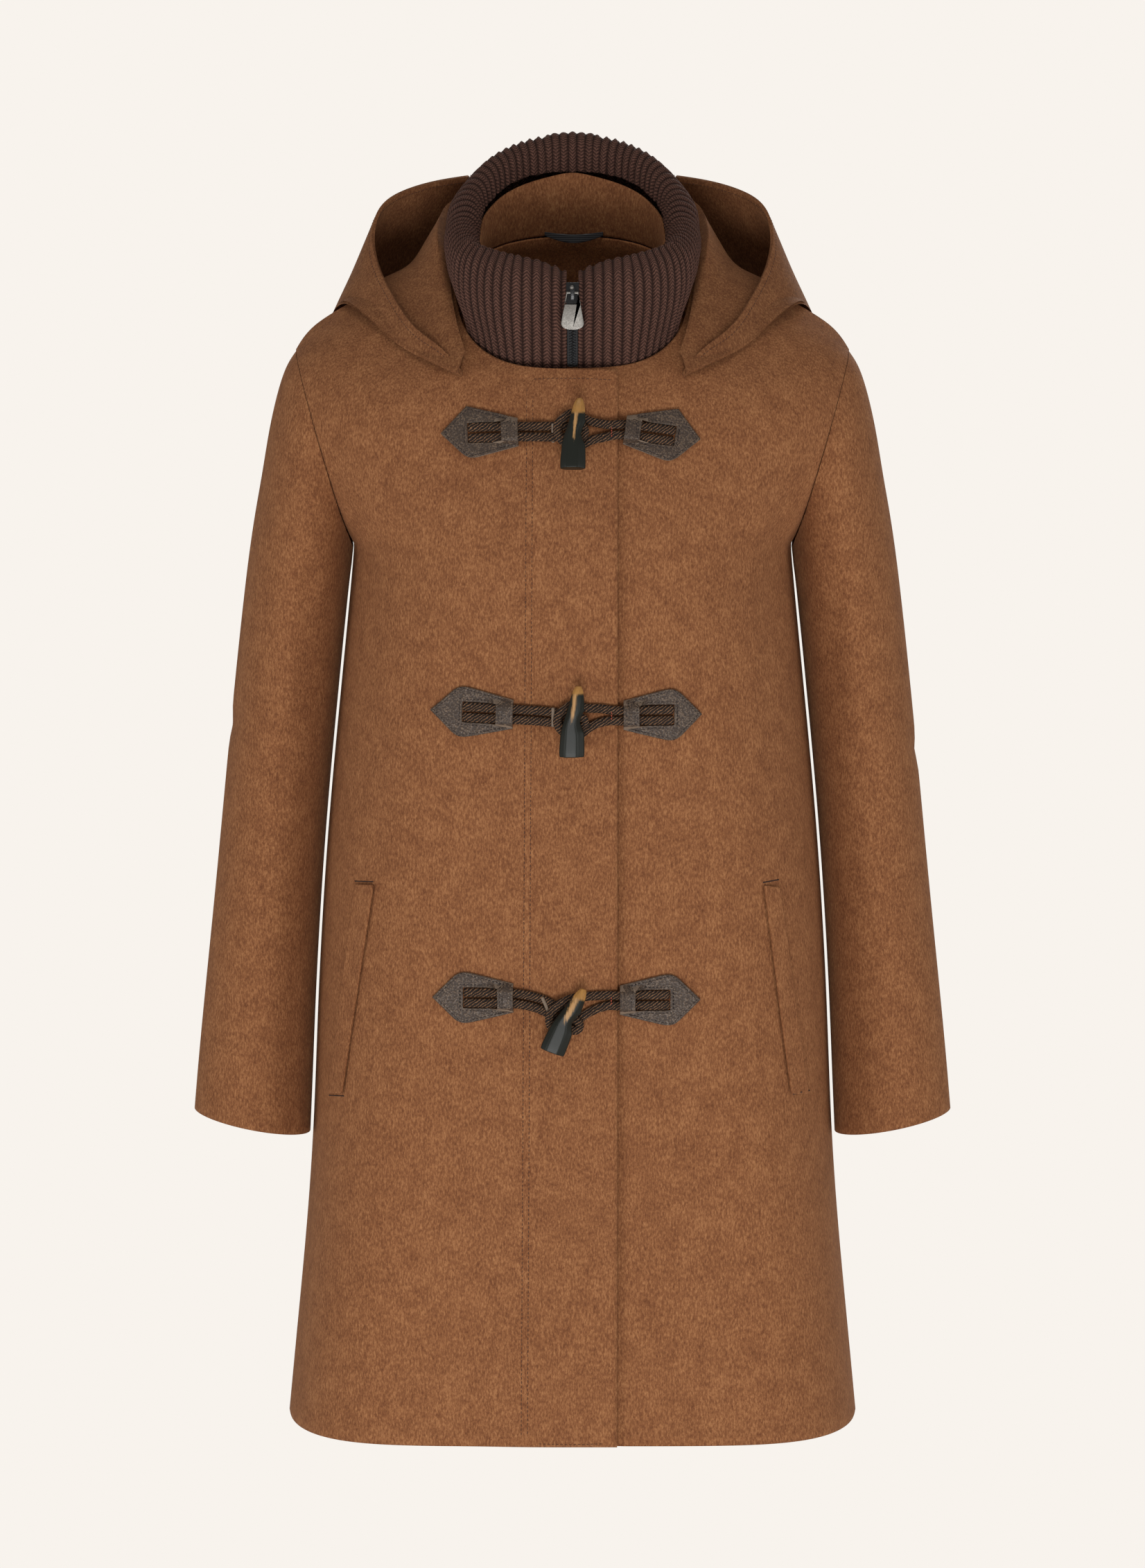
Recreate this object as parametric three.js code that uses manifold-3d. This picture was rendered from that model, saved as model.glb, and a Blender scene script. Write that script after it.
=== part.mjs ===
// A women's duffle coat in wool, filled out as it is worn, with nobody in it.
// Millimetres, +Z up. X runs to the wearer's left, the front faces -Y.
// The origin is in the middle of the neck, at the height of the back neck seam.
import * as THREE from 'three';
import Module from 'manifold-3d';
import { mergeVertices } from 'three/addons/utils/BufferGeometryUtils.js';

const wasm = await Module();
wasm.setup();

// Driving dimensions
const HEM_Z = -885;             // back length from the neck seam to the hem
const WOOL = 2.5;               // thickness of the coating wool
const GAP = 0.3;                // between pieces at a seam
const ARMPIT = { x: 163, z: -230 };
const SHOULDER = { x: 206, z: -82 };   // where the shoulder seam meets the sleeve
const NECK_POINT = { x: 88, z: -15 };  // where the shoulder seam meets the neckline
const OVERLAP = 33;             // the fronts lap this far past the centre
const LAP_STEP = WOOL + 1.1;    // the upper front stands this much prouder there
const RIBS = 84;                // ribs all round the knit collar
const ZIP_HALF = 4.2;           // half the width between the collar's front edges
const TOGGLE_LENGTH = 52;
const CUFF_Z = -652;

// Colours
const WOOL_BROWN = 0x8a5a3c;
const KNIT_BROWN = 0x453029;
const LEATHER = 0x50392c;
const CORD = 0x3c281e;
const HORN = 0x2b2a22;
const BLACK_METAL = 0x2a2a2a;
const SILVER = 0xc9c8c4;
const BLACK_TAPE = 0x1a1918;

// The shell of the coat: one row for each height, half width, depth to the front and to the
// back, and how square the front and back of the section are.
const SHELL = [
  { z: -885, half: 214.5, front: 136, back: 136, squareFront: 6.0, squareBack: 4.2 },
  { z: -676, half: 195.7, front: 134, back: 130, squareFront: 5.2, squareBack: 3.8 },
  { z: -555, half: 190.7, front: 134, back: 125, squareFront: 4.6, squareBack: 3.4 },
  { z: -443, half: 183.5, front: 134, back: 122, squareFront: 4.0, squareBack: 3.2 },
  { z: -339, half: 173.7, front: 137, back: 122, squareFront: 3.6, squareBack: 3.0 },
  { z: -260, half: 165.8, front: 138, back: 125, squareFront: 3.3, squareBack: 2.9 },
  { z: -230, half: 163.0, front: 137, back: 126, squareFront: 3.2, squareBack: 2.9 },
  { z: -200, half: 181.0, front: 133, back: 126, squareFront: 3.0, squareBack: 2.9 },
  { z: -150, half: 209.0, front: 121, back: 122, squareFront: 2.8, squareBack: 2.8 },
  { z: -120, half: 220.0, front: 111, back: 117, squareFront: 2.6, squareBack: 2.7 },
  { z: -90, half: 213.0, front: 95, back: 110, squareFront: 2.3, squareBack: 2.5 },
  { z: -82, half: 206.0, front: 86, back: 108, squareFront: 2.2, squareBack: 2.4 },
  { z: -76, half: 202.5, front: 79, back: 106, squareFront: 2.2, squareBack: 2.4 },
  { z: -66, half: 194.5, front: 70, back: 102, squareFront: 2.2, squareBack: 2.3 },
  { z: -57, half: 182.4, front: 61, back: 98, squareFront: 2.2, squareBack: 2.3 },
  { z: -47, half: 165.0, front: 51, back: 94, squareFront: 2.2, squareBack: 2.2 },
  { z: -40, half: 152.0, front: 44, back: 91, squareFront: 2.2, squareBack: 2.2 },
  { z: -28, half: 123.0, front: 32, back: 85, squareFront: 2.2, squareBack: 2.2 },
  { z: -20, half: 103.0, front: 24, back: 81, squareFront: 2.2, squareBack: 2.2 },
  { z: -15, half: 88.0, front: 18, back: 78, squareFront: 2.2, squareBack: 2.2 },
  { z: 0, half: 82.0, front: 8, back: 72, squareFront: 2.2, squareBack: 2.2 },
];

// The neckline from the centre front round to the shoulder seam, seen from the front.
const FRONT_NECKLINE = [
  { x: 0, z: -90 },
  { x: 43, z: -89.5 },
  { x: 60, z: -83.5 },
  { x: 74, z: -75 },
  { x: 82, z: -64 },
  { x: 87, z: -47 },
  { x: 89.5, z: -30 },
  { x: NECK_POINT.x, z: NECK_POINT.z },
];

// The neckline from the centre back round to the shoulder seam, seen from the back.
const BACK_NECKLINE = [
  { x: 0, z: 0 },
  { x: 32, z: -1 },
  { x: 58, z: -4 },
  { x: 78, z: -9 },
  { x: NECK_POINT.x, z: NECK_POINT.z },
];

// Smooth curve through rows of a table, with no overshoot between them.
function column(rows, key, by) {
  const slope = rows.slice(1).map((row, i) => (row[key] - rows[i][key]) / (row[by] - rows[i][by]));
  const tangent = rows.map((row, i) => {
    if (i === 0) return slope[0];
    if (i === rows.length - 1) return slope[i - 1];
    if (slope[i - 1] * slope[i] <= 0) return 0;
    return 2 * slope[i - 1] * slope[i] / (slope[i - 1] + slope[i]);
  });
  return (at) => {
    const place = Math.min(Math.max(at, rows[0][by]), rows[rows.length - 1][by]);
    let i = 0;
    while (i < rows.length - 2 && place > rows[i + 1][by]) i += 1;
    const step = rows[i + 1][by] - rows[i][by];
    const t = (place - rows[i][by]) / step;
    return rows[i][key] * (1 + 2 * t) * (1 - t) ** 2 + rows[i + 1][key] * (3 - 2 * t) * t * t
      + step * (tangent[i] * t * (1 - t) ** 2 - tangent[i + 1] * (1 - t) * t * t);
  };
}

const shellAt = {};
for (const key of ['half', 'front', 'back', 'squareFront', 'squareBack']) {
  shellAt[key] = column(SHELL, key, 'z');
}

const FRONT = -1;
const BACK = 1;

// A point of the shell: turn is 0 at the centre line and 90 degrees at the side.
function shellPoint(turn, z, face, proud = 0) {
  const reach = Math.sin(turn);
  const square = face === FRONT ? shellAt.squareFront(z) : shellAt.squareBack(z);
  const depth = (face === FRONT ? shellAt.front(z) : shellAt.back(z)) + proud;
  const x = shellAt.half(z) * reach;
  const y = face * depth * Math.max(0, 1 - Math.abs(reach) ** square) ** 0.5;
  return new THREE.Vector3(x, y, z);
}

function turnAt(x, z) {
  return Math.asin(Math.min(1, Math.max(-1, x / shellAt.half(z))));
}

// The sleeve is set in a plane that leans out from the armpit to the shoulder.
function armholeX(z) {
  const share = (z - ARMPIT.z) / (SHOULDER.z - ARMPIT.z);
  return ARMPIT.x + share * (SHOULDER.x - ARMPIT.x);
}

const armholeNormal = new THREE.Vector3(SHOULDER.z - ARMPIT.z, 0, ARMPIT.x - SHOULDER.x).normalize();

function behindArmhole(point, clear) {
  const from = new THREE.Vector3(ARMPIT.x, 0, ARMPIT.z);
  const over = point.clone().sub(from).dot(armholeNormal) + clear;
  return over > 0 ? point.clone().addScaledVector(armholeNormal, -over) : point;
}

function outsideArmhole(point, clear) {
  const from = new THREE.Vector3(ARMPIT.x, 0, ARMPIT.z);
  const short = clear - point.clone().sub(from).dot(armholeNormal);
  return short > 0 ? point.clone().addScaledVector(armholeNormal, short) : point;
}

function mix(a, b, t) {
  return a + (b - a) * t;
}

function smooth(t) {
  const held = Math.min(1, Math.max(0, t));
  return held * held * (3 - 2 * held);
}

// Normals of a grid of points, one for each point.
function gridNormals(grid, round, turned) {
  const rows = grid.length;
  const columns = grid[0].length;
  return grid.map((row, i) => row.map((point, j) => {
    const up = grid[Math.min(i + 1, rows - 1)][j].clone().sub(grid[Math.max(i - 1, 0)][j]);
    const next = round ? (j + 1) % columns : Math.min(j + 1, columns - 1);
    const last = round ? (j + columns - 1) % columns : Math.max(j - 1, 0);
    const along = grid[i][next].clone().sub(grid[i][last]);
    return along.cross(up).multiplyScalar(turned ? -1 : 1).normalize();
  }));
}

// Collects triangles and gives a closed geometry whose faces point out.
function Faces() {
  this.places = [];
  this.triangles = [];
}

Faces.prototype.add = function add(point) {
  this.places.push(point);
  return this.places.length - 1;
};

Faces.prototype.quad = function quad(a, b, c, d) {
  this.triangles.push([a, b, c], [a, c, d]);
};

// Joins two rows of points that run side by side, whatever their numbers.
Faces.prototype.join = function join(first, second) {
  let i = 0;
  let j = 0;
  while (i < first.length - 1 || j < second.length - 1) {
    const ahead = (i + 1) / (first.length - 1) <= (j + 1) / (second.length - 1) + 1e-9;
    if (i < first.length - 1 && (ahead || j === second.length - 1)) {
      this.triangles.push([first[i], first[i + 1], second[j]]);
      i += 1;
    } else {
      this.triangles.push([first[i], second[j + 1], second[j]]);
      j += 1;
    }
  }
};

Faces.prototype.geometry = function geometry() {
  let volume = 0;
  for (const [a, b, c] of this.triangles) {
    volume += this.places[a].dot(this.places[b].clone().cross(this.places[c]));
  }
  const order = volume < 0 ? (t) => [t[0], t[2], t[1]] : (t) => t;
  const shape = new THREE.BufferGeometry();
  const flat = this.places.flatMap((p) => [p.x, p.y, p.z]);
  shape.setAttribute('position', new THREE.Float32BufferAttribute(flat, 3));
  shape.setIndex(this.triangles.flatMap(order));
  shape.computeVertexNormals();
  return shape;
};

// A wall of cloth: outer points on the grid, inner points the thickness behind them.
function wall(grid, thickness, { round = false, turned = false, keep = (p) => p, relief = null } = {}) {
  const normals = gridNormals(grid, round, turned);
  const faces = new Faces();
  const outer = grid.map((row, i) => row.map((point, j) => {
    const lift = relief ? relief(i, j) : 0;
    return faces.add(keep(point.clone().addScaledVector(normals[i][j], lift), i, j));
  }));
  const inner = grid.map((row, i) => row.map((point, j) => faces.add(
    keep(point.clone().addScaledVector(normals[i][j], -thickness), i, j),
  )));
  const rows = grid.length;
  const columns = grid[0].length;
  const steps = round ? columns : columns - 1;
  for (let i = 0; i < rows - 1; i += 1) {
    for (let j = 0; j < steps; j += 1) {
      const k = (j + 1) % columns;
      faces.quad(outer[i][j], outer[i][k], outer[i + 1][k], outer[i + 1][j]);
      faces.quad(inner[i][j], inner[i + 1][j], inner[i + 1][k], inner[i][k]);
    }
  }
  for (let j = 0; j < steps; j += 1) {
    const k = (j + 1) % columns;
    const top = rows - 1;
    faces.quad(outer[0][j], inner[0][j], inner[0][k], outer[0][k]);
    faces.quad(outer[top][j], outer[top][k], inner[top][k], inner[top][j]);
  }
  if (!round) {
    const end = columns - 1;
    for (let i = 0; i < rows - 1; i += 1) {
      faces.quad(outer[i][0], outer[i + 1][0], inner[i + 1][0], inner[i][0]);
      faces.quad(outer[i][end], inner[i][end], inner[i + 1][end], outer[i + 1][end]);
    }
  }
  return faces.geometry();
}

const coat = new THREE.Group();

function addPiece(name, geometry, colour, roughness = 0.9, metalness = 0, parent = coat) {
  const material = new THREE.MeshStandardMaterial({ color: colour, roughness, metalness });
  const piece = new THREE.Mesh(geometry, material);
  piece.name = name;
  parent.add(piece);
  return piece;
}

function mirrored(grid) {
  return grid.map((row) => row.map((p) => new THREE.Vector3(-p.x, p.y, p.z)));
}

// Body panels
const LOW_ROWS = 12;      // from the hem to the armpit
const ARM_ROWS = 10;      // from the armpit to the shoulder seam
const FRONT_COLUMNS = 11;
const BACK_COLUMNS = 20;
const NECK_ROWS = 6;      // of the arm rows, those that end on the front neckline

function armholeZ(step) {
  const middle = (ARMPIT.z + SHOULDER.z) / 2;
  const half = (SHOULDER.z - ARMPIT.z) / 2;
  return middle - half * Math.cos(Math.PI * step / ARM_ROWS);
}

function neckPlace(line, share) {
  const along = [0];
  for (let i = 1; i < line.length; i += 1) {
    along.push(along[i - 1] + Math.hypot(line[i].x - line[i - 1].x, line[i].z - line[i - 1].z));
  }
  const goal = share * along[along.length - 1];
  let i = 0;
  while (i < line.length - 2 && goal > along[i + 1]) i += 1;
  const t = (goal - along[i]) / (along[i + 1] - along[i]);
  return { x: mix(line[i].x, line[i + 1].x, t), z: mix(line[i].z, line[i + 1].z, t) };
}

// The ends of each row of a front: where it starts near the centre and ends at the side.
function frontRow(row, start) {
  if (row <= LOW_ROWS) {
    const z = mix(HEM_Z, ARMPIT.z, row / LOW_ROWS);
    return { z, turn: turnAt(start, z), outZ: z, outTurn: Math.PI / 2 };
  }
  const step = row - LOW_ROWS;
  const outZ = armholeZ(step);
  const outTurn = step === ARM_ROWS ? Math.PI / 2 : turnAt(armholeX(outZ), outZ);
  const straight = ARM_ROWS - NECK_ROWS;
  if (step <= straight) {
    const z = mix(ARMPIT.z, FRONT_NECKLINE[0].z, step / straight);
    return { z, turn: turnAt(start, z), outZ, outTurn };
  }
  const line = [{ x: start, z: FRONT_NECKLINE[0].z }, ...FRONT_NECKLINE.slice(1)];
  const place = neckPlace(line, (step - straight) / NECK_ROWS);
  const turn = step === ARM_ROWS ? Math.PI / 2 : turnAt(place.x, place.z);
  return { z: place.z, turn, outZ, outTurn };
}

// Where a column of the back ends: on the neckline, or further out on the shoulder seam.
const NECK_SHARE = 0.4;

function backTop(t) {
  if (t < NECK_SHARE) {
    const place = neckPlace(BACK_NECKLINE, t / NECK_SHARE);
    return { turn: turnAt(place.x, place.z), z: place.z };
  }
  const z = mix(NECK_POINT.z, SHOULDER.z, ((t - NECK_SHARE) / (1 - NECK_SHARE)) ** 1.5);
  return { turn: Math.PI / 2, z };
}

function backPlace(row, t) {
  if (row <= LOW_ROWS) {
    return { turn: t * Math.PI / 2, z: mix(HEM_Z, ARMPIT.z, row / LOW_ROWS) };
  }
  const step = row - LOW_ROWS;
  const outZ = armholeZ(step);
  const outTurn = step === ARM_ROWS ? Math.PI / 2 : turnAt(armholeX(outZ), outZ);
  const v = (outZ - ARMPIT.z) / (SHOULDER.z - ARMPIT.z);
  const top = backTop(t);
  const turn = mix(t * Math.PI / 2, top.turn, v) + t * (outTurn - Math.PI / 2);
  return { turn, z: mix(ARMPIT.z, top.z, v) + t * (outZ - mix(ARMPIT.z, SHOULDER.z, v)) };
}

// The upper front rises over the lower one past the centre and settles on the chest.
// It stands a little prouder at the neck, where the layers of the placket end.
function lapLift(x, z) {
  const step = LAP_STEP + 1.6 * smooth((z + 150) / 50);
  return step * (1 - smooth((x - OVERLAP - 3) / 38));
}

function frontGrid(start, lap) {
  const grid = [];
  for (let row = 0; row <= LOW_ROWS + ARM_ROWS; row += 1) {
    const ends = frontRow(row, start);
    const line = [];
    for (let j = 0; j <= FRONT_COLUMNS; j += 1) {
      const t = j / FRONT_COLUMNS;
      const z = mix(ends.z, ends.outZ, t);
      const turn = mix(ends.turn, ends.outTurn, t);
      const x = shellAt.half(z) * Math.sin(turn);
      const face = shellPoint(turn, z, FRONT, lap ? lapLift(x, z) : 0);
      face.y = Math.min(face.y, -GAP / 2);
      line.push(face);
    }
    grid.push(line);
  }
  return grid;
}

function backGrid() {
  const grid = [];
  for (let row = 0; row <= LOW_ROWS + ARM_ROWS; row += 1) {
    const line = [];
    for (let j = 0; j <= BACK_COLUMNS; j += 1) {
      const across = 2 * j / BACK_COLUMNS - 1;
      const place = backPlace(row, Math.abs(across));
      const point = shellPoint(place.turn, place.z, BACK);
      point.x *= Math.sign(across);
      point.y = Math.max(point.y, GAP / 2);
      line.push(point);
    }
    grid.push(line);
  }
  return grid;
}

const leftFront = frontGrid(-OVERLAP, false);
const rightFront = mirrored(frontGrid(-OVERLAP, true));

// Both fronts and the back keep off the seam at the side and off the armhole's plane.
function keepFront(point) {
  const side = point.x < 0 ? -1 : 1;
  const turned = new THREE.Vector3(point.x * side, Math.min(point.y, -GAP / 2), point.z);
  const held = point.z > ARMPIT.z ? behindArmhole(turned, 0) : turned;
  return new THREE.Vector3(held.x * side, held.y, held.z);
}

function keepBack(point) {
  const side = point.x < 0 ? -1 : 1;
  const turned = new THREE.Vector3(point.x * side, Math.max(point.y, GAP / 2), point.z);
  const held = point.z > ARMPIT.z ? behindArmhole(turned, 0) : turned;
  return new THREE.Vector3(held.x * side, held.y, held.z);
}

addPiece('front_left', wall(leftFront, WOOL, { keep: keepFront }), WOOL_BROWN);
addPiece('front_right', wall(rightFront, WOOL, { turned: true, keep: keepFront }), WOOL_BROWN);
addPiece('back', wall(backGrid(), WOOL, { turned: true, keep: keepBack }), WOOL_BROWN);

// Sleeves: each row is a section, with its outer and inner point seen from the front, its depth
// to the front and back, the middle's place in depth, and how much of the armhole's shape is left.
const SLEEVE = [
  { x: 213.5, z: -92, innerZ: -234, depth: 68, middle: 2, armhole: 0.85 },
  { x: 220, z: -111, innerZ: -239, depth: 69, middle: 3, armhole: 0.6 },
  { x: 227, z: -141, innerZ: -247, depth: 70, middle: 5, armhole: 0.3 },
  { x: 232, z: -173, innerZ: -260, depth: 71, middle: 7, armhole: 0.1 },
  { x: 238, z: -204, innerZ: -279, depth: 71, middle: 9, armhole: 0 },
  { x: 243.5, z: -240, innerZ: -304, depth: 70, middle: 10, armhole: 0 },
  { x: 250, z: -295, innerZ: -346, depth: 69, middle: 11, armhole: 0 },
  { x: 256.5, z: -356, innerZ: -395, depth: 67, middle: 11, armhole: 0 },
  { x: 263, z: -423, innerZ: -453, depth: 64, middle: 9, armhole: 0 },
  { x: 269.5, z: -490, innerZ: -514, depth: 61, middle: 6, armhole: 0 },
  { x: 276, z: -552, innerZ: -572, depth: 58, middle: 2, armhole: 0 },
  { x: 282, z: -612, innerZ: -631, depth: 55, middle: -3, armhole: 0 },
  { x: 285.3, z: CUFF_Z, innerZ: CUFF_Z - 18, depth: 53, middle: -7, armhole: 0 },
];
const SLEEVE_CLEAR = 1.4;   // from the side of the body
const SLEEVE_COLUMNS = 2 * ARM_ROWS;

// The edge of the armhole, once round from the armpit by the front.
const ARMHOLE_LEAST = 12;   // of its depth beside the armpit
function armholeEdge(step) {
  const up = step <= ARM_ROWS ? step : 2 * ARM_ROWS - step;
  const z = armholeZ(up);
  const atEnd = up === 0 || up === ARM_ROWS;
  const turn = atEnd ? Math.PI / 2 : turnAt(armholeX(z), z);
  const face = step <= ARM_ROWS ? FRONT : BACK;
  const deep = Math.max(Math.abs(shellPoint(turn, z, face).y), ARMHOLE_LEAST);
  return new THREE.Vector3(armholeX(z), atEnd ? 0 : face * deep, z);
}

function sleeveGrid() {
  const grid = [];
  const first = [];
  for (let j = 0; j < SLEEVE_COLUMNS; j += 1) {
    first.push(armholeEdge(j).addScaledVector(armholeNormal, GAP));
  }
  grid.push(first);
  for (const [k, row] of SLEEVE.entries()) {
    const gap = mix(0.6, SLEEVE_CLEAR, Math.min(1, k / 5));
    const inner = new THREE.Vector3(shellAt.half(Math.min(row.innerZ, ARMPIT.z)) + gap, 0, row.innerZ);
    const outer = new THREE.Vector3(row.x, 0, row.z);
    const line = [];
    for (let j = 0; j < SLEEVE_COLUMNS; j += 1) {
      const angle = Math.PI * j / ARM_ROWS;
      const share = (1 - Math.cos(angle)) / 2;
      const point = inner.clone().lerp(outer, share);
      const round = row.middle - row.depth * Math.sin(angle);
      point.y = mix(round, first[j].y, row.armhole);
      line.push(point);
    }
    grid.push(line);
  }
  return grid;
}

function keepSleeve(point) {
  const side = point.x < 0 ? -1 : 1;
  const held = outsideArmhole(new THREE.Vector3(point.x * side, point.y, point.z), GAP);
  return point.z > ARMPIT.z - 10 ? new THREE.Vector3(held.x * side, held.y, held.z) : point;
}

const leftSleeve = sleeveGrid();
addPiece(
  'sleeve_left',
  wall(leftSleeve, WOOL, { round: true, turned: true, keep: keepSleeve }),
  WOOL_BROWN,
);
addPiece(
  'sleeve_right',
  wall(mirrored(leftSleeve), WOOL, { round: true, keep: keepSleeve }),
  WOOL_BROWN,
);

// The neckline once round, from the centre front by the wearer's left to the centre back.
// The share runs from 0 to 1 by length.
const NECK_STEPS = 60;

function neckCurve() {
  const points = [];
  for (let i = 0; i <= NECK_STEPS; i += 1) {
    const place = neckPlace(FRONT_NECKLINE, i / NECK_STEPS);
    points.push(shellPoint(i === NECK_STEPS ? Math.PI / 2 : turnAt(place.x, place.z), place.z, FRONT));
  }
  for (let i = NECK_STEPS - 1; i >= 0; i -= 1) {
    const place = neckPlace(BACK_NECKLINE, i / NECK_STEPS);
    points.push(shellPoint(turnAt(place.x, place.z), place.z, BACK));
  }
  return new THREE.CatmullRomCurve3(points);
}

const neckline = neckCurve();
neckline.arcLengthDivisions = 400;

// A point by the neckline, moved out in plan and up. The share is 0 at the front, 1 at the back,
// and below 0 on the wearer's right.
function byNeck(share, out, up) {
  const held = Math.min(1, Math.abs(share));
  const point = neckline.getPointAt(held);
  const along = neckline.getTangentAt(held);
  const outward = new THREE.Vector3(-along.y, along.x, 0).normalize().multiplyScalar(-1);
  const side = share < 0 ? -1 : 1;
  return new THREE.Vector3(
    side * (point.x + outward.x * out),
    point.y + outward.y * out,
    point.z + up,
  );
}

// Height of the knit collar's fold, by the angle round from the front, in degrees.
const FOLD = [
  { angle: 0, z: -21 },
  { angle: 8, z: -14 },
  { angle: 20, z: -9 },
  { angle: 45, z: 0 },
  { angle: 70, z: 14 },
  { angle: 90, z: 31 },
  { angle: 135, z: 66 },
  { angle: 180, z: 84 },
];
const foldZ = column(FOLD, 'z', 'angle');

// The collar's section, from its foot at the neckline up the outside, over the fold and down the
// inside: how far out of the foot, and the share of the collar's height.
const COLLAR = [
  { out: 0, up: 0 },
  { out: 3.5, up: 0.2 },
  { out: 10, up: 0.42 },
  { out: 12.5, up: 0.62 },
  { out: 10.5, up: 0.86 },
  { out: -0.5, up: 1 },
  { out: -8.5, up: 0.95 },
  { out: -13, up: 0.84 },
  { out: -14, up: 0.66 },
];
const KNIT = 4.5;          // thickness of the rib knit
const FOOT_IN = 6.2;       // the collar's foot stands inside the wool's edge
const FOOT_SIDE = 4.6;     // and this much further at the sides of the back
const FOOT_DOWN = 5;
const RIB_RISE = 0.9;

function footSide(share) {
  const held = Math.abs(share);
  return FOOT_SIDE * smooth((held - 0.42) / 0.1) * (1 - smooth((held - 0.86) / 0.1));
}

function footIn(share, up) {
  return FOOT_IN + footSide(share) * Math.max(0, 1 - up * 2);
}

function collarPoint(share, row) {
  const foot = byNeck(share, -FOOT_IN, -FOOT_DOWN);
  const angle = Math.atan2(Math.abs(foot.x), -foot.y) * 180 / Math.PI;
  const rise = (foldZ(angle) - foot.z) * row.up;
  const point = byNeck(share, row.out - footIn(share, row.up), rise - FOOT_DOWN);
  const side = point.x < 0 ? -1 : 1;
  const nearest = Math.abs(share) < 0.5 ? ZIP_HALF : 0;
  return new THREE.Vector3(side * Math.max(Math.abs(point.x), nearest), point.y, point.z);
}

// A wall whose outer points carry ribs, over a plain inside with fewer columns.
function ribbedWall(grid, thickness, rise, skip) {
  const normals = gridNormals(grid, false, true);
  const faces = new Faces();
  const last = grid[0].length - 1;
  const outer = grid.map((row, i) => row.map((point, j) => {
    const lift = j % 2 === 0 ? rise : -rise / 2;
    const held = j === 0 || j === last ? 0 : lift;
    return faces.add(point.clone().addScaledVector(normals[i][j], held));
  }));
  const inner = grid.map((row, i) => row.filter((_, j) => j % skip === 0).map((point, k) => {
    const behind = point.clone().addScaledVector(normals[i][k * skip], -thickness);
    return faces.add(behind);
  }));
  const top = grid.length - 1;
  for (let i = 0; i < top; i += 1) {
    for (let j = 0; j < last; j += 1) {
      faces.quad(outer[i][j], outer[i][j + 1], outer[i + 1][j + 1], outer[i + 1][j]);
    }
    for (let j = 0; j < inner[i].length - 1; j += 1) {
      faces.quad(inner[i][j], inner[i + 1][j], inner[i + 1][j + 1], inner[i][j + 1]);
    }
  }
  faces.join(inner[0], outer[0]);
  faces.join(outer[top], inner[top]);
  const start = (rows) => rows.map((row) => row[0]);
  const end = (rows) => rows.map((row) => row[row.length - 1]);
  faces.join(start(outer), start(inner));
  faces.join(end(inner), end(outer));
  return faces.geometry();
}

const collarColumns = 2 * RIBS;
const INNER_SKIP = 6;
const zipShare = ZIP_HALF / neckline.getLength();
const collarGrid = COLLAR.map((row) => {
  const line = [];
  for (let j = 0; j <= collarColumns; j += 1) {
    const round = 2 * j / collarColumns - 1;
    const share = Math.sign(round) * mix(1, zipShare, Math.abs(round));
    line.push(collarPoint(j * 2 === collarColumns ? 1 : share, row));
  }
  return line;
});
addPiece('knit_collar', ribbedWall(collarGrid, KNIT, RIB_RISE, INNER_SKIP), KNIT_BROWN, 1);

// Stand: the wool band inside the collar, from the end of the knit down to the neck seam.
// Its ends stop inside the front of the collar.
const STAND_END = 0.42;     // share of the neckline where the stand starts
const STAND_STEPS = 20;
const STAND_ROWS = [
  { out: -14.5, up: 0.6 },
  { out: -15.5, up: 0.42 },
  { out: -13, up: 0.22 },
  { out: -8.5, up: 0.055 },
];
const FACING = 1.5;         // thickness of the facing and stand

function roundNeck(from, steps, pointAt) {
  const line = [];
  for (let j = 0; j <= steps; j += 1) {
    const round = 2 * j / steps - 1;
    const share = (Math.sign(round) || 1) * mix(1, from, Math.abs(round));
    line.push(pointAt(share));
  }
  return line;
}

const standGrid = STAND_ROWS.map((row) => roundNeck(STAND_END, STAND_STEPS, (share) => {
  const foot = byNeck(share, -FOOT_IN, -FOOT_DOWN);
  const angle = Math.atan2(Math.abs(foot.x), -foot.y) * 180 / Math.PI;
  const rise = Math.max(FOOT_DOWN + 0.5, (foldZ(angle) - foot.z) * row.up);
  return byNeck(share, row.out - footIn(share, row.up), rise - FOOT_DOWN);
}));
addPiece('collar_stand', wall(standGrid, FACING, { turned: true }), WOOL_BROWN);

// Neck facing: from the neck seam under the collar's foot and down inside the back.
const FACING_DEPTH = 78;
const FACING_IN = 4.4;        // inside the back's wool, whose faces are flat
const facingStart = 0.66;
const facingGrid = [
  { out: -14.8, up: -1, onBack: 0 },
  { out: -11.5, up: -10, onBack: 0 },
  { out: 0, up: -17, onBack: 0.6 },
  { out: 0, up: -34, onBack: 1 },
  { out: 0, up: -56, onBack: 1 },
  { out: 0, up: -FACING_DEPTH, onBack: 1 },
].map((row) => roundNeck(facingStart, 16, (share) => {
  const point = byNeck(share, row.out - footSide(share) * (1 - row.onBack), row.up);
  const square = shellAt.squareBack(point.z);
  const reach = Math.min(1, Math.abs(point.x) / (shellAt.half(point.z) - 8)) ** square;
  const depth = (shellAt.back(point.z) - WOOL - FACING - FACING_IN) * (1 - reach) ** 0.5;
  return new THREE.Vector3(point.x, mix(point.y, depth, row.onBack), point.z);
}));
addPiece('neck_facing', wall(facingGrid, FACING, { turned: true }), WOOL_BROWN);

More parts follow.
